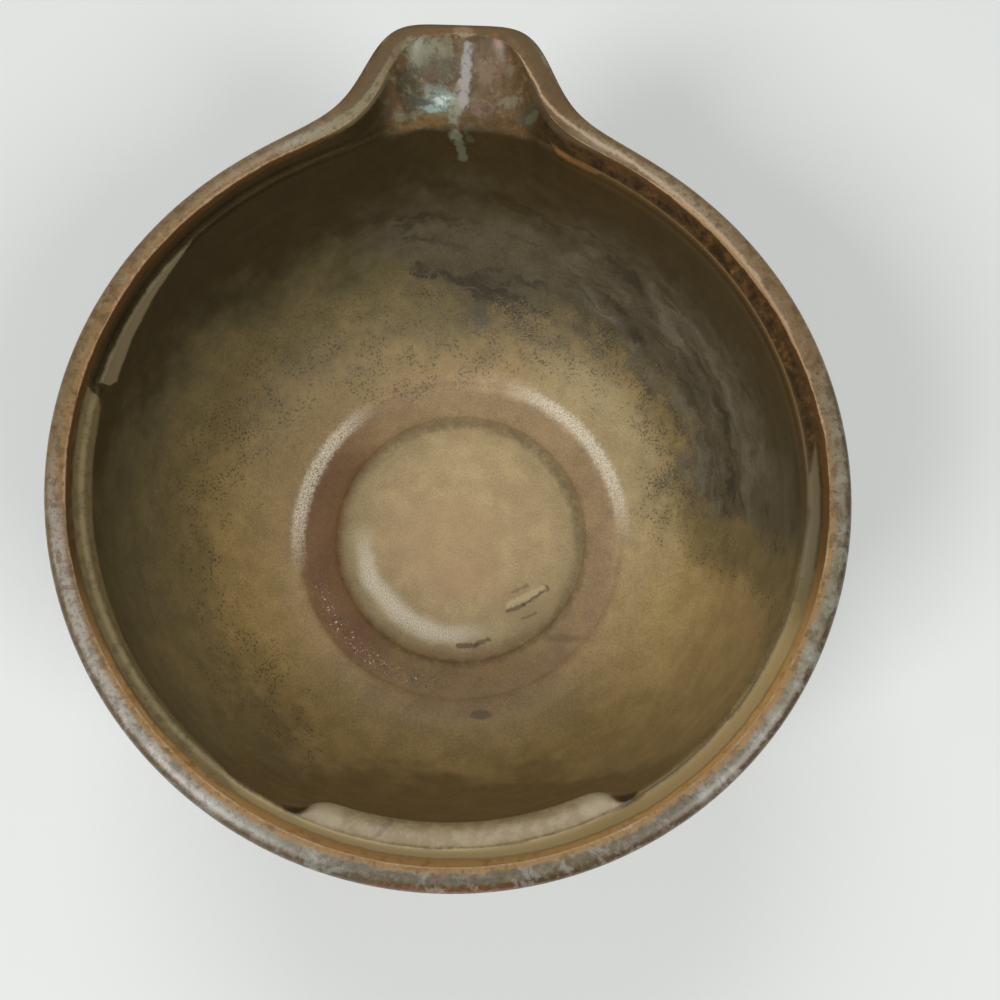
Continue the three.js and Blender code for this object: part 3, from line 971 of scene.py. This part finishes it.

# %% [markdown]
# On the gallery the glaze lies in bands. The rust-coloured face below the lip ends at a border that
# runs round the bowl, and patches lie below it; the pale ones on the left are painted reflections,
# and thin pale lines at the lip's edge are painted highlights. Here lengths are from the lip's inner
# edge, and a patch is a colour, its greatest share, its softness, where it starts, and the border
# where it ends.

# %% Bands and patches of the gallery
FACE_EDGE = [(-180, 2.5), (-155, 2.7), (-135, 1.7), (-118, 1.9), (-98, 1.5), (-80, 1.7), (-76, 1.6),
             (-22, 1.2), (-12, 1.0), (12, 1.0), (30, 1.6), (80, 1.7), (104, 1.9), (128, 1.7), (150, 1.6),
             (180, 2.5)]
GALLERY_PATCHES = [
    ((78, 58, 34), 0.85, 0.6, 0.9, [(12, 0), (20, 4.4), (60, 4.4), (78, 3.6), (96, 0)]),
    ((112, 100, 74), 0.85, 0.5, 2.7, [(78, 0), (90, 5.0), (106, 5.2), (118, 0)]),
    # A painted reflection: a pale band of light on the gallery at the left.
    ((130, 115, 80), 0.95, 0.7, 2.2, [(-154, 0), (-142, 7.8), (-130, 8.4), (-100, 8.6), (-84, 8.2),
                                     (-79, 7.0), (-77.6, 0)]),
    # A painted reflection: a pale streak of light on the ridge at the far left.
    ((140, 126, 98), 0.9, 0.5, 5.0, [(-77, 0), (-75.6, 10.8), (-68, 9.4), (-60, 8.0), (-54, 7.0),
                                     (-48, 4.6)]),
    ((142, 96, 50), 0.6, 0.4, 5.0, [(12, 0), (16, 6.2), (24, 5.9), (30, 0)]),
    ((96, 80, 60), 0.7, 0.5, -0.8, [(6, 0), (10, 2.4), (16, 2.0), (26, 0)]),
    # A painted highlight on the lip's edge at the spout's left flank.
    ((120, 112, 88), 0.7, 0.5, -0.8, [(-24, 0), (-16, 0.9), (-9, 1.2), (-5, 0)]),
    # A painted highlight: a thin peach line on the lip's inner edge at the far right.
    ((182, 148, 110), 0.85, 0.2, -0.5, [(34, 0), (40, 0.7), (58, 1.0), (70, 0.5), (84, 0)]),
]


# %% [markdown]
# The coat is painted in this order: the floor by its distance from the middle, the wall, the grain
# with painted highlights, the gallery, the ridge, the shelf, the spout, and the marks on the floor.
# The wall is smoother than the floor, and the crown of the ridge is duller on the spout's side.

# %% The inner glaze
def inner_finish():
    f = Finish("inner glaze", 0.36)
    reach, along, past = f.attribute("reach"), f.attribute("along"), f.attribute("past")
    spout, on_shelf = f.attribute("spout"), f.attribute("shelf")
    fine = f.noise(f.point, 2.0, 4.0, 0.7)
    small = f.centred(0.5, 3.0, 0.6, 1.0)
    stops = [(at / RAMP_REACH, srgb(*colour), 1) for at, colour in FLOOR_TO_RIM]
    f.colour = f.ramp(f.math("DIVIDE", f.add(reach, small), RAMP_REACH), stops)["Color"]
    f.paint_bands(f.scaled(small, 3.0, reach), FLOOR_ZONES)
    wall_colours(f, reach, fine)
    # The grain step also lays painted highlights on the well's edge and on the disc's edge.
    grain(f, fine, reach)

    gallery_colours(f, along, f.smooth(spout, 0.6, 0.15))
    ridge_colours(f, past)
    shelf_colours(f, past, on_shelf)
    spout_colours(f, spout)
    floor_marks(f, reach)

    smooth_wall = f.smooth(reach, 50, 80)
    rough = f.scaled(fine, 0.16, f.scaled(smooth_wall, -0.06, 0.3))
    bumpy = f.scaled(smooth_wall, -0.9, 1.0)
    bumpy = f.times(bumpy, f.smooth(reach, 94, 86))
    crown = f.times(f.between(past, -1.4, 1.6, 0.8), f.sector(0, 84, 30))
    rough = f.scaled(crown, 0.3, rough)
    f.set(Base_Color=f.colour, Roughness=rough, Normal=f.bump(fine, 0.00016, bumpy),
          Specular_IOR_Level=f.scaled(crown, -0.27, 0.32))
    return f.material


# %% [markdown]
# Each colour of the wall starts where the distance from the floor's middle, stirred by noise, passes
# its border. The violet zone has wisps along the wheel, and the whole coat has grain. Painted
# highlights lie on the well's edge at the far left and far right, and on the disc's near-left edge.

# %% The wall
def wall_colours(f, reach, fine):
    """Olive, brown, umber and violet, each from its own border outwards."""
    turn = f.add(f.turn, f.centred(0.05, 2.0, 0.5, 0.05))
    bend = f.centred(0.075, 4.0, 0.6, 42.0)
    wisp = f.centred(0.2, 4.0, 0.65, 26.0)
    stipple = f.times(f.less(fine, 0.5), 46.0)
    bent = f.add(reach, bend)
    rough_bent = f.add(f.times(f.add(bend, wisp), 0.6), reach)
    speckled = f.add(rough_bent, stipple)

    olive = f.less(speckled, f.border(turn, OLIVE_BORDER))
    f.paint(OLIVE, f.smooth(olive, -7, 10, 0.95))
    f.paint(DARK_SPECK, f.specks(1.7, 0.66), f.smooth(olive, -14, -2, 0.7), f.smooth(olive, 20, 6),
            f.smooth(wisp, -3.0, 2.0))
    f.paint((126, 109, 72), f.smooth(wisp, 1.0, 4.0, 0.45), f.smooth(olive, 0, 8),
            f.smooth(reach, 92, 74))
    grey = f.less(rough_bent, f.border(turn, GREY_BORDER))
    f.paint(GREY_OLIVE, f.smooth(grey, -9, 11, 0.85))
    near = f.less(f.scaled(stipple, 0.3, bent), f.border(turn, NEAR_BORDER))
    f.paint(NEAR_BROWN, f.smooth(near, -7, 9, 0.9))
    violet = f.less(speckled, f.border(turn, VIOLET_BORDER))
    inside = f.smooth(violet, -3, 5)
    f.paint(VIOLET, 0.92, inside)
    strokes(f, f.add(reach, f.times(wisp, 0.3)), inside)
    upper = f.add(rough_bent, f.times(stipple, 0.3))
    umber = f.smooth(f.less(upper, f.border(turn, UMBER_BORDER)), -12, 11)
    f.paint(UMBER, 0.95, umber)
    f.paint(WARM_UMBER, 0.9, umber, f.sector(62, 54, 40))


def strokes(f, reach, inside):
    """Wisps that the brush left in the violet zone, light and dark, along the wheel."""
    broad = f.streaks(reach, 2.4, 0.12, 10.0)
    thin = f.streaks(reach, 4.5, 0.3, 6.0)
    both = f.scaled(broad, 0.6, f.times(thin, 0.4))
    f.paint(LIGHT_STROKE, f.smooth(both, 0.48, 0.62, 0.75), inside, f.smooth(reach, 94, 82),
            f.sector(58, 30, 44))
    f.paint(DARK_STROKE, f.smooth(both, 0.49, 0.38, 0.75), inside)


def grain(f, fine, reach):
    """The coat's own grain, and painted highlights on the well's edge and the disc's near-left edge."""
    cloud = f.noise(f.point, 0.16, 4.0, 0.65)
    f.shade(f.smooth(fine, 0.3, 0.7, 1.2, least=0.84))
    f.shade(f.smooth(cloud, 0.3, 0.7, 1.14, least=0.88))
    # Painted highlights: pale glints on the well's edge at the far left and the far right.
    sparkle = f.smooth(f.noise(f.point, 3.0, 2.0, 0.7), 0.36, 0.56)
    edge = f.band(f.add(reach, f.centred(1.2, 2.0, 0.6, 2.4)), 37.2, 40.4, 0.9)
    f.paint(PAINTED_GLINT, 0.9, sparkle, edge, f.sector(-72, 20, 36))
    f.paint(PAINTED_GLINT, 0.95, sparkle, edge, f.sector(54, 24, 36))
    # A painted highlight: a pale crescent with glints on the disc's near-left edge.
    painted_crescent_highlight = f.band(f.add(reach, f.centred(0.12, 2.0, 0.6, 3.0)), 20.6, 24.4, 1.5)
    f.paint((182, 166, 130), 0.55, painted_crescent_highlight, f.sector(-146, 46, 34))
    f.paint((216, 206, 184), 0.85, sparkle, painted_crescent_highlight, f.sector(-142, 38, 40))


# %% [markdown]
# The gallery is measured from the lip's inner edge, the ridge and the shelf from the ridge's crown.

# %% The gallery, the ridge and the shelf
def gallery_colours(f, along, plain):
    """Rust face, dark line below it, tan band partly painted reflection, painted shade line, patches."""
    wander = f.add(f.centred(0.14, 3.0, 0.6, 1.2), f.centred(1.1, 2.0, 0.6, 0.4))
    line = f.add(along, wander)
    blotch = f.noise(f.point, 0.45, 4.0, 0.7)
    edge = f.border(f.turn, FACE_EDGE)
    face = f.between(line, -2.0, edge, 0.4)
    near, far_left, far_right = f.sector(178, 66, 26), f.sector(-58, 58, 24), f.sector(64, 50, 24)
    f.paint((84, 54, 22), 0.85, face, far_left, plain)
    f.paint((96, 64, 32), 0.9, face, far_right, plain)
    f.paint((178, 138, 84), 0.95, face, near, plain)
    f.paint((146, 102, 54), f.smooth(line, 0.4, 2.4, 0.45), face, near, plain)
    f.paint((140, 88, 40), f.smooth(blotch, 0.5, 0.64, 0.5), face, near, plain)
    tan = f.between(line, edge, 4.9, 0.4)
    # The tan band is partly the glaze's colour and partly painted reflection of light from above.
    f.paint((156, 134, 90), 0.95, tan, f.sector(158, 46, 14))
    f.paint((168, 147, 104), 0.9, tan, f.sector(-168, 30, 18))
    f.paint((96, 70, 34), 0.55, f.between(f.less(line, edge), 0.0, 0.3, 0.3), near, plain)
    # Painted shade: a dark line in the crease at the ridge, above the shelf.
    f.paint((82, 66, 36), 0.8, f.band(line, 5.1, 5.6, 0.3), f.sector(166, 62, 14))
    for tint, most, soft, start, end in GALLERY_PATCHES:
        f.paint(tint, most, f.between(line, start, f.border(f.turn, end), soft))
    gallery = f.between(line, 1.2, 4.8, 0.8)
    f.paint((48, 35, 20), f.smooth(blotch, 0.48, 0.6, 0.8), gallery, f.sector(48, 34, 20))
    f.paint((112, 76, 40), f.smooth(blotch, 0.46, 0.36, 0.7), gallery, f.sector(56, 30, 20))
    f.paint((96, 86, 58), f.smooth(blotch, 0.46, 0.6, 0.6), f.between(line, 1.2, 8, 0.8),
            f.sector(-112, 34, 16))
    # A painted highlight: a thin pale line on the lip's inner edge at the far left.
    f.paint((152, 112, 68), 0.6, f.band(line, -0.4, -0.1, 0.2), f.sector(-56, 38, 14), plain)


def ridge_colours(f, past):
    """Right of the spout the glaze breaks to tan on the ridge's crown and lies brown below it."""
    f.paint((84, 66, 38), 0.6, f.between(past, 0.2, 3.6, 0.8), f.sector(64, 44, 16))
    f.paint((126, 98, 60), 0.5, f.between(past, -0.2, 0.1, 0.15), f.sector(56, 36, 16))


def shelf_colours(f, past, on_shelf):
    """Pale shelf, partly painted light; painted highlights at its ends, painted shade along its brink.
    """
    here = f.smooth(on_shelf, 0.3, 0.6)
    stir = f.centred(0.7, 3.0, 0.65, 0.9)
    ledge = f.band(f.add(past, stir), 0.0, 7.0, 0.4)
    cloud = f.noise(f.point, 0.5, 4.0, 0.65)
    # The shelf's pale colour is partly its glaze and partly painted light from above.
    f.paint((132, 115, 82), 0.95, ledge, here)
    f.paint((154, 138, 106), f.smooth(cloud, 0.42, 0.6, 0.6), ledge, here)
    # Painted highlights at the shelf's two ends.
    for middle in (155, -163):
        f.paint((160, 146, 118), 0.5, ledge, here, f.sector(middle, 0.8, 4.6))
    f.paint((110, 92, 72), 0.7, ledge, f.stroke(on_inside(188.6, 6.4), on_inside(187.6, 9.4), 0.8, 1.4))
    # Painted shade: a dark line along the brink, where the shelf turns down to the wall.
    f.paint((66, 50, 24), 0.7, f.band(past, 7.4, 8.4, 0.5), here)
    # Painted shadow in the pressed pits beyond the shelf's ends, which are also dented in the surface.
    for spot in press_points:
        f.paint((40, 26, 8), 0.95, f.patch(spot, (2.3, 1.7, 2.2), 0.5))


# %% [markdown]
# In the spout the glaze pooled and ran over the sill. A mark is a centre and a size in millimetres,
# a colour and its greatest share. A run has a start, an end and a width instead.

# %% The spout
SPOUT_MARKS = [
    ((-7.0, 88.5, 70), (5.0, 3.6, 6), (120, 120, 96), 0.7),
    ((-10.5, 82.0, 68), (3.0, 5.0, 6), (56, 50, 30), 0.8),
    ((-4.5, 86.2, 69), (4.6, 3.4, 6), (70, 62, 42), 0.75),
    ((-6.2, 85.6, 69), (2.0, 1.6, 6), (88, 66, 42), 0.65),
    ((-4.0, 80.6, 67), (4.4, 2.2, 5), (132, 144, 132), 0.75),
    ((-3.4, 80.2, 67), (2.6, 1.1, 5), (176, 188, 182), 0.85),
    ((-7.4, 79.8, 67), (2.4, 1.2, 5), (60, 66, 52), 0.8),
    ((-5.4, 78.9, 67), (3.0, 0.8, 5), (134, 154, 146), 0.7),
    ((-6.0, 82.6, 67), (3.0, 1.2, 5), (104, 118, 106), 0.6),
    ((8.0, 84.5, 69), (3.6, 7.0, 6), (100, 78, 52), 0.7),
    ((5.6, 86.0, 69), (2.6, 2.4, 6), (120, 100, 78), 0.5),
    ((4.6, 79.0, 68), (3.4, 2.2, 6), (104, 84, 70), 0.6),
    ((10.4, 79.6, 68), (2.6, 1.4, 6), (116, 108, 84), 0.6),
    ((14.4, 76.0, 69), (2.6, 1.9, 4), (66, 63, 45), 0.65),
    ((15.2, 75.4, 69), (1.3, 0.9, 4), (92, 96, 74), 0.5),
    ((0.4, 92.6, 73), (2.2, 1.2, 2), (150, 136, 104), 0.7),
]
SPOUT_STROKES = [
    ((1.6, 91.0, 71), (0.6, 80.0, 67), 1.5, (150, 150, 148), 0.75),
    ((0.4, 84.0, 68), (-0.4, 78.6, 67), 1.6, (146, 134, 122), 0.6),
    (on_inside(-0.9, 14), on_inside(-0.6, 21), 1.8, (120, 122, 102), 0.8),
    (on_inside(-0.4, 21), on_inside(0.3, 27), 1.3, (100, 102, 84), 0.7),
    (on_inside(0.6, 18), on_inside(1.6, 22), 1.0, (78, 74, 56), 0.6),
    ((-8.4, 92.4, 73), (3.4, 93.0, 73), 0.9, (104, 72, 38), 0.6),
    ((7.0, 91.6, 73), (9.6, 87.4, 72), 1.1, (124, 82, 46), 0.6),
]


def spout_marks(f, share=1.0):
    """The patches and runs of the spout, which both coats share where they meet."""
    for centre, size, tint, most in SPOUT_MARKS:
        f.paint(tint, most, f.patch(centre, size, 2.2), share)
    for start, end, width, tint, most in SPOUT_STROKES:
        f.paint(tint, most, f.stroke(start, end, width, 1.6), share)


def spout_colours(f, spout):
    """The trough: brown sides, an olive floor, and pale glaze that pooled and ran in it."""
    fray = f.add(f.height, f.centred(0.3, 4.0, 0.65, 3.0))
    here = f.times(f.smooth(spout, 0.3, 0.7), f.smooth(fray, 65.0, 67.4))
    cloud = f.noise(f.point, 0.26, 4.0, 0.65, 0.8)
    flecks = f.noise(f.point, 0.6, 4.0, 0.6, 0.6)
    f.paint((92, 70, 43), 0.95, here)
    f.paint((108, 103, 78), 0.8, here, f.smooth(cloud, 0.42, 0.6), f.sector(-8, 9, 8))
    f.paint((100, 74, 46), 0.6, here, f.smooth(cloud, 0.5, 0.36))
    spout_marks(f)
    f.paint((54, 45, 26), here, f.smooth(flecks, 0.5, 0.64, 0.5))
    f.paint((126, 124, 100), here, f.smooth(flecks, 0.46, 0.34, 0.3))
    sill_line = f.band(f.add(f.height, f.centred(0.6, 3.0, 0.6, 0.8)), 66.0, 66.5, 0.3)
    f.paint((112, 82, 44), 0.55, sill_line, f.smooth(spout, 0.5, 0.9), f.sector(-7, 4, 4))


# %% [markdown]
# The floor has stains, light and dark lines along its fold, and crystals in the channel.

# %% The marks on the floor
FLOOR_STAINS = [
    ((-4, -3, 11), (15, 12, 3), (168, 134, 98), 0.3),
    ((3, -13, 11), (10, 5, 3), (168, 132, 96), 0.35),
    ((17, -18.6, 11), (8, 4.5, 3), (150, 128, 92), 0.6),
    ((21.2, -14.2, 11), (0.7, 0.9, 3), (98, 78, 50), 0.7),
    ((25, -26, 11), (5, 1.2, 3), (98, 84, 54), 0.5),
    ((6, -44.5, 13), (2.6, 1.2, 3), (70, 56, 32), 0.6),
]
FOLD_LINES = [
    ((12.4, -18.4), (20.0, -14.6), 1.5, (184, 166, 124), 0.75),
    ((12.0, -19.8), (15.6, -18.2), 0.7, (78, 62, 36), 0.7),
    ((15.6, -18.2), (20.6, -14.8), 0.5, (80, 64, 38), 0.7),
    ((13.0, -15.2), (16.6, -13.4), 0.6, (112, 92, 58), 0.6),
    ((15.4, -21.6), (18.8, -20.2), 0.5, (104, 86, 54), 0.6),
    ((0.4, -28.4), (4.4, -28.2), 0.9, (70, 56, 34), 0.7),
    ((4.4, -28.0), (7.4, -26.8), 0.8, (84, 68, 42), 0.7),
    ((22.4, -21.4), (25.0, -17.6), 0.5, (112, 94, 60), 0.5),
]


def floor_marks(f, reach):
    """Stains on the disc, a dark line at its far edge, the fold, and crystals in the channel."""
    for centre, size, tint, most in FLOOR_STAINS:
        f.paint(tint, most, f.patch(centre, size))
    stirred = f.add(reach, f.centred(0.2, 3.0, 0.6, 4.0))
    worn = f.smooth(f.noise(f.point, 0.5, 4.0, 0.7), 0.38, 0.56)
    f.paint((98, 86, 56), 0.6, f.band(stirred, 26.0, 28.4, 0.9), worn, f.sector(26, 74, 30))
    f.paint((96, 80, 50), 0.5, f.band(stirred, 28.8, 30.4, 0.5), worn, f.sector(160, 60, 30))
    for start, end, width, tint, most in FOLD_LINES:
        f.paint(tint, most, f.stroke((*start, floor_height), (*end, floor_height), width, 1.5))
    channel = f.band(stirred, 33.2, 36.6, 0.7)
    f.paint((44, 34, 22), 0.6, channel, f.specks(2.1, 0.56), f.sector(-150, 26, 14))
    f.paint((206, 198, 178), 0.9, channel, f.specks(1.7, 0.5), f.sector(-143, 27, 14))


# %% [markdown]
# The outer glaze lies over the lip and the outside. Its crest is tan on the far side, with a painted
# highlight along it right of the spout, and mottled blue-grey on the right; the near edge breaks to
# rust. A painted reflection lies on the lip at the near left, and painted highlights lie on its inner
# edge at the far left and on the spout's left flank. Below the lip it runs down brown. Here `along`
# is the distance from the lip's inner edge outwards.

# %% Bands of the lip, in millimetres outwards from its inner edge
LIP = [
    (-1.0, 7.0, 0.7, (0, 18, 8), (88, 70, 44), 0.9),
    (0.6, 2.2, 0.7, (12, 5, 6), (112, 84, 52), 0.7),
    (0.9, 3.4, 0.7, (112, 30, 30), (118, 113, 94), 0.85),
    # A painted reflection: a pale lilac band on the lip at the near left.
    (0.9, 3.2, 0.6, (-132, 36, 26), (150, 142, 131), 0.9),
    (0.9, 3.4, 0.6, (-160, 16, 16), (122, 120, 104), 0.8),
    (1.0, 3.0, 0.6, (168, 30, 26), (86, 79, 64), 0.9),
    (0.8, 2.8, 0.7, (34, 12, 14), (134, 118, 92), 0.8),
    (3.2, 9.0, 0.5, (100, 22, 20), (64, 60, 46), 0.9),
    (3.0, 9.0, 0.5, (158, 44, 20), (68, 50, 28), 0.95),
    (3.4, 9.0, 0.5, (-142, 40, 20), (88, 76, 58), 0.9),
    (3.6, 5.2, 0.5, (178, 9, 8), (108, 62, 30), 0.8),
    (-1.0, 1.0, 0.35, (165, 74, 24), (140, 108, 66), 0.9),
    (-1.0, 1.6, 0.8, (-54, 42, 16), (130, 96, 54), 0.6),
    # A painted highlight on the lip's inner edge at the far left.
    (-1.0, 0.3, 0.3, (-56, 38, 14), (152, 116, 72), 0.6),
    # A painted highlight along the crest of the spout's left flank.
    (0.0, 2.4, 0.6, (-19, 9, 7), (126, 120, 94), 0.8),
]
CREST_HIGHLIGHT_PAINT = [(7, 0), (10, 1.0), (16, 2.2), (22, 2.2), (32, 1.4), (42, 0.8), (60, 0.3), (80, 0)]


def outer_finish():
    f = Finish("outer glaze", 0.3)
    along = f.attribute("along")
    blotch = f.noise(f.point, 0.22, 5.0, 0.65, 0.5)
    small = f.noise(f.point, 0.9, 4.0, 0.7)
    runs = f.runs(16.0, 0.05)
    f.colour = f.mix(f.smooth(runs, 0.38, 0.62), srgb(84, 64, 42), srgb(112, 104, 86))
    f.paint((58, 44, 28), f.smooth(small, 0.52, 0.68, 0.5))
    wander = f.add(f.centred(0.16, 3.0, 0.6, 1.6), f.centred(1.1, 2.0, 0.6, 0.9))
    line = f.add(along, wander)
    f.paint((114, 94, 66), 0.95, f.smooth(line, 7.5, 4.5))
    f.paint_bands(line, LIP)
    crest = f.border(f.turn, CREST_HIGHLIGHT_PAINT)
    lip_flecks(f, f.smooth(line, 6.5, 4.5), f.smooth(line, 0.6, 1.4), blotch)
    # A painted highlight along the lip's crest, right of the spout.
    f.paint((162, 141, 112), 0.85, f.between(line, f.less(crest, 0.8), crest, 0.35))
    spout_marks(f, f.smooth(line, 3.0, 1.0))
    f.paint((84, 66, 42), f.smooth(small, 0.54, 0.7, 0.4))
    f.paint((48, 34, 20), 0.6, f.smooth(f.height, 16, 9))
    rough = f.scaled(small, 0.2, 0.2)
    near_spout = f.sector(0, 20, 14)
    f.set(Base_Color=f.colour, Roughness=f.scaled(near_spout, 0.2, rough),
          Specular_IOR_Level=f.scaled(near_spout, -0.22, 0.35),
          Normal=f.bump(small, 0.00008, 0.7))
    return f.material


def lip_flecks(f, lip, outward, blotch):
    """Flecks of a few millimetres on the lip: brown and grey-green, bluer on the near side."""
    flecks = f.noise(f.point, 0.34, 4.0, 0.65, 0.5)
    fine_flecks = f.noise(f.point, 0.9, 3.0, 0.6)
    near = f.sector(168, 78, 40)
    plain = f.times(f.sector(180, 160, 12), outward)
    for tint, noise, low, high, most, *masks in [
            ((84, 65, 40), flecks, 0.5, 0.64, 0.6),
            ((128, 122, 98), flecks, 0.46, 0.34, 0.5, plain),
            ((84, 78, 58), blotch, 0.48, 0.36, 0.7, outward, near),
            ((140, 141, 132), blotch, 0.52, 0.62, 0.5, outward, near),
            ((142, 142, 134), fine_flecks, 0.52, 0.66, 0.25, outward, near),
            ((66, 53, 34), fine_flecks, 0.46, 0.34, 0.35),
            ((118, 78, 44), fine_flecks, 0.58, 0.7, 0.4)]:
        f.paint(tint, f.smooth(noise, low, high, most), lip, *masks)


# %% [markdown]
# Bare stoneware is toasted brown with dark iron specks, dry and slightly rough. The wheel's lines
# show in it.

# %% The bare clay
def clay_finish():
    f = Finish("bare clay", 0.85)
    coarse = f.noise(f.point, 1.4, 5.0, 0.7)
    toast = f.noise(f.point, 0.08, 3.0)
    f.colour = f.mix(f.smooth(toast, 0.35, 0.65), srgb(150, 112, 78), srgb(126, 88, 60))
    f.paint((92, 66, 46), f.smooth(coarse, 0.45, 0.7, 0.5))
    f.paint((44, 34, 28), f.specks(1.1, 0.45))
    lines = f.streaks(f.radius, 1.5, 2.4)
    height = f.add(coarse, f.times(lines, 0.6))
    f.set(Base_Color=f.colour, Normal=f.bump(height, 0.0001, 0.8))
    return f.material


def dress(piece, material):
    """Gives the piece its finish and its body."""
    piece.data.materials.clear()
    piece.data.materials.append(material)
    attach(piece, "root")


clay = clay_finish()
dress(inner_glaze, inner_finish())
dress(outer_glaze, outer_finish())
dress(clay_body, clay)
dress(foot_ring, clay)
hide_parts("inner_glaze")
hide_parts("outer_glaze")
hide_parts("bowl_body")
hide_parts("foot_ring")
spout_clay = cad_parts["spout"]
spout_clay.data.materials.clear()
spout_clay.data.materials.append(clay)

# %% [markdown]
# The photograph looks down into the bowl from the near side, a little to its right. The camera's
# place and turn come from fitting the rim's outline, and are written in the bowl's own frame.

# %% Camera
IMAGE = 1000
FOCAL_PIXELS = 1025
SENSOR = 36.0
camera_place = [11.55, -48.48, 184.18]
camera_pitch = 12.74
camera_yaw = 0.45
bowl_turn = 1.2


def make_camera():
    """The lens from the picture's focal length; the turn is a yaw, then a pitch, seen from above."""
    lens = bpy.data.cameras.new("view")
    lens.sensor_width = SENSOR
    lens.lens = FOCAL_PIXELS * SENSOR / IMAGE
    lens.clip_start = 0.01
    camera = bpy.data.objects.new("view", lens)
    yaw = Matrix.Rotation(np.radians(camera_yaw), 4, "Y")
    pitch = Matrix.Rotation(np.radians(camera_pitch), 4, "X")
    back = Matrix.Rotation(np.radians(bowl_turn), 4, "Z")
    spot = back @ Vector(camera_place) + Vector((0, 0, rim_height))
    place_there = Matrix.Translation(spot * MM + Vector((axis.x, axis.y, 0)))
    camera.matrix_world = place_there @ back @ yaw @ pitch
    bpy.context.scene.collection.objects.link(camera)
    bpy.context.scene.camera = camera
    print("camera at", [round(v, 4) for v in camera.matrix_world.translation])


make_camera()

# %% [markdown]
# Soft light from above and from both near corners of the room, on a plain pale floor.

# %% Light and floor
def area_light(name, place_m, aim, size, power):
    """A square panel that faces its aim."""
    light = bpy.data.lights.new(name, "AREA")
    light.size = size
    light.energy = power
    panel = bpy.data.objects.new(name, light)
    facing = (Vector(aim) - Vector(place_m)).to_track_quat("-Z", "Y")
    panel.matrix_world = Matrix.Translation(place_m) @ facing.to_matrix().to_4x4()
    bpy.context.scene.collection.objects.link(panel)


bowl_middle = (0, 0, 0.04)
area_light("near_left", (-0.72, -0.6, 0.98), bowl_middle, 0.45, 9.4)
area_light("near_right", (0.7, -0.52, 0.88), bowl_middle, 0.4, 6.2)
area_light("far", (-0.15, 0.85, 1.0), bowl_middle, 0.7, 6.4)
area_light("overhead", (0.1, -0.3, 1.25), bowl_middle, 0.8, 3.2)


def pale_world():
    """Dim light from all round; what the camera sees of it is pale."""
    world = bpy.data.worlds.new("room")
    world.use_nodes = True
    graph = Graph(world.node_tree)
    room = world.node_tree.nodes["Background"]
    room.inputs["Color"].default_value = (0.9, 0.95, 1.0, 1)
    room.inputs["Strength"].default_value = 0.14
    seen = graph.node("ShaderNodeBackground", {"Color": (0.86, 0.87, 0.86), "Strength": 1.0})
    path = graph.node("ShaderNodeLightPath")
    both = graph.node("ShaderNodeMixShader", {0: path.outputs["Is Camera Ray"]})
    graph.tree.links.new(room.outputs[0], both.inputs[1])
    graph.tree.links.new(seen.outputs[0], both.inputs[2])
    graph.tree.links.new(both.outputs[0], world.node_tree.nodes["World Output"].inputs[0])
    bpy.context.scene.world = world


def pale_floor():
    """A flat sheet under the bowl, a grid of points at the lowest height of the frame."""
    half, lines = 3.0, 9
    span = np.linspace(-half, half, lines)
    x, y = np.meshgrid(span, span)
    points = np.stack([x, y, 0 * x + cad_low.z], axis=-1).reshape(-1, 3)
    index = np.arange(lines ** 2).reshape(lines, lines)
    corners = [index[:-1, :-1], index[:-1, 1:], index[1:, 1:], index[1:, :-1]]
    mesh = bpy.data.meshes.new("floor")
    mesh.from_pydata(points.tolist(), [], np.stack(corners, axis=-1).reshape(-1, 4).tolist())
    floor = bpy.data.objects.new("floor", mesh)
    bpy.context.scene.collection.objects.link(floor)
    material = bpy.data.materials.new("pale floor")
    material.use_nodes = True
    shader = material.node_tree.nodes["Principled BSDF"]
    shader.inputs["Base Color"].default_value = (0.66, 0.67, 0.65, 1)
    shader.inputs["Roughness"].default_value = 0.9
    mesh.materials.append(material)


pale_world()
pale_floor()
bpy.context.scene.view_settings.view_transform = "Standard"
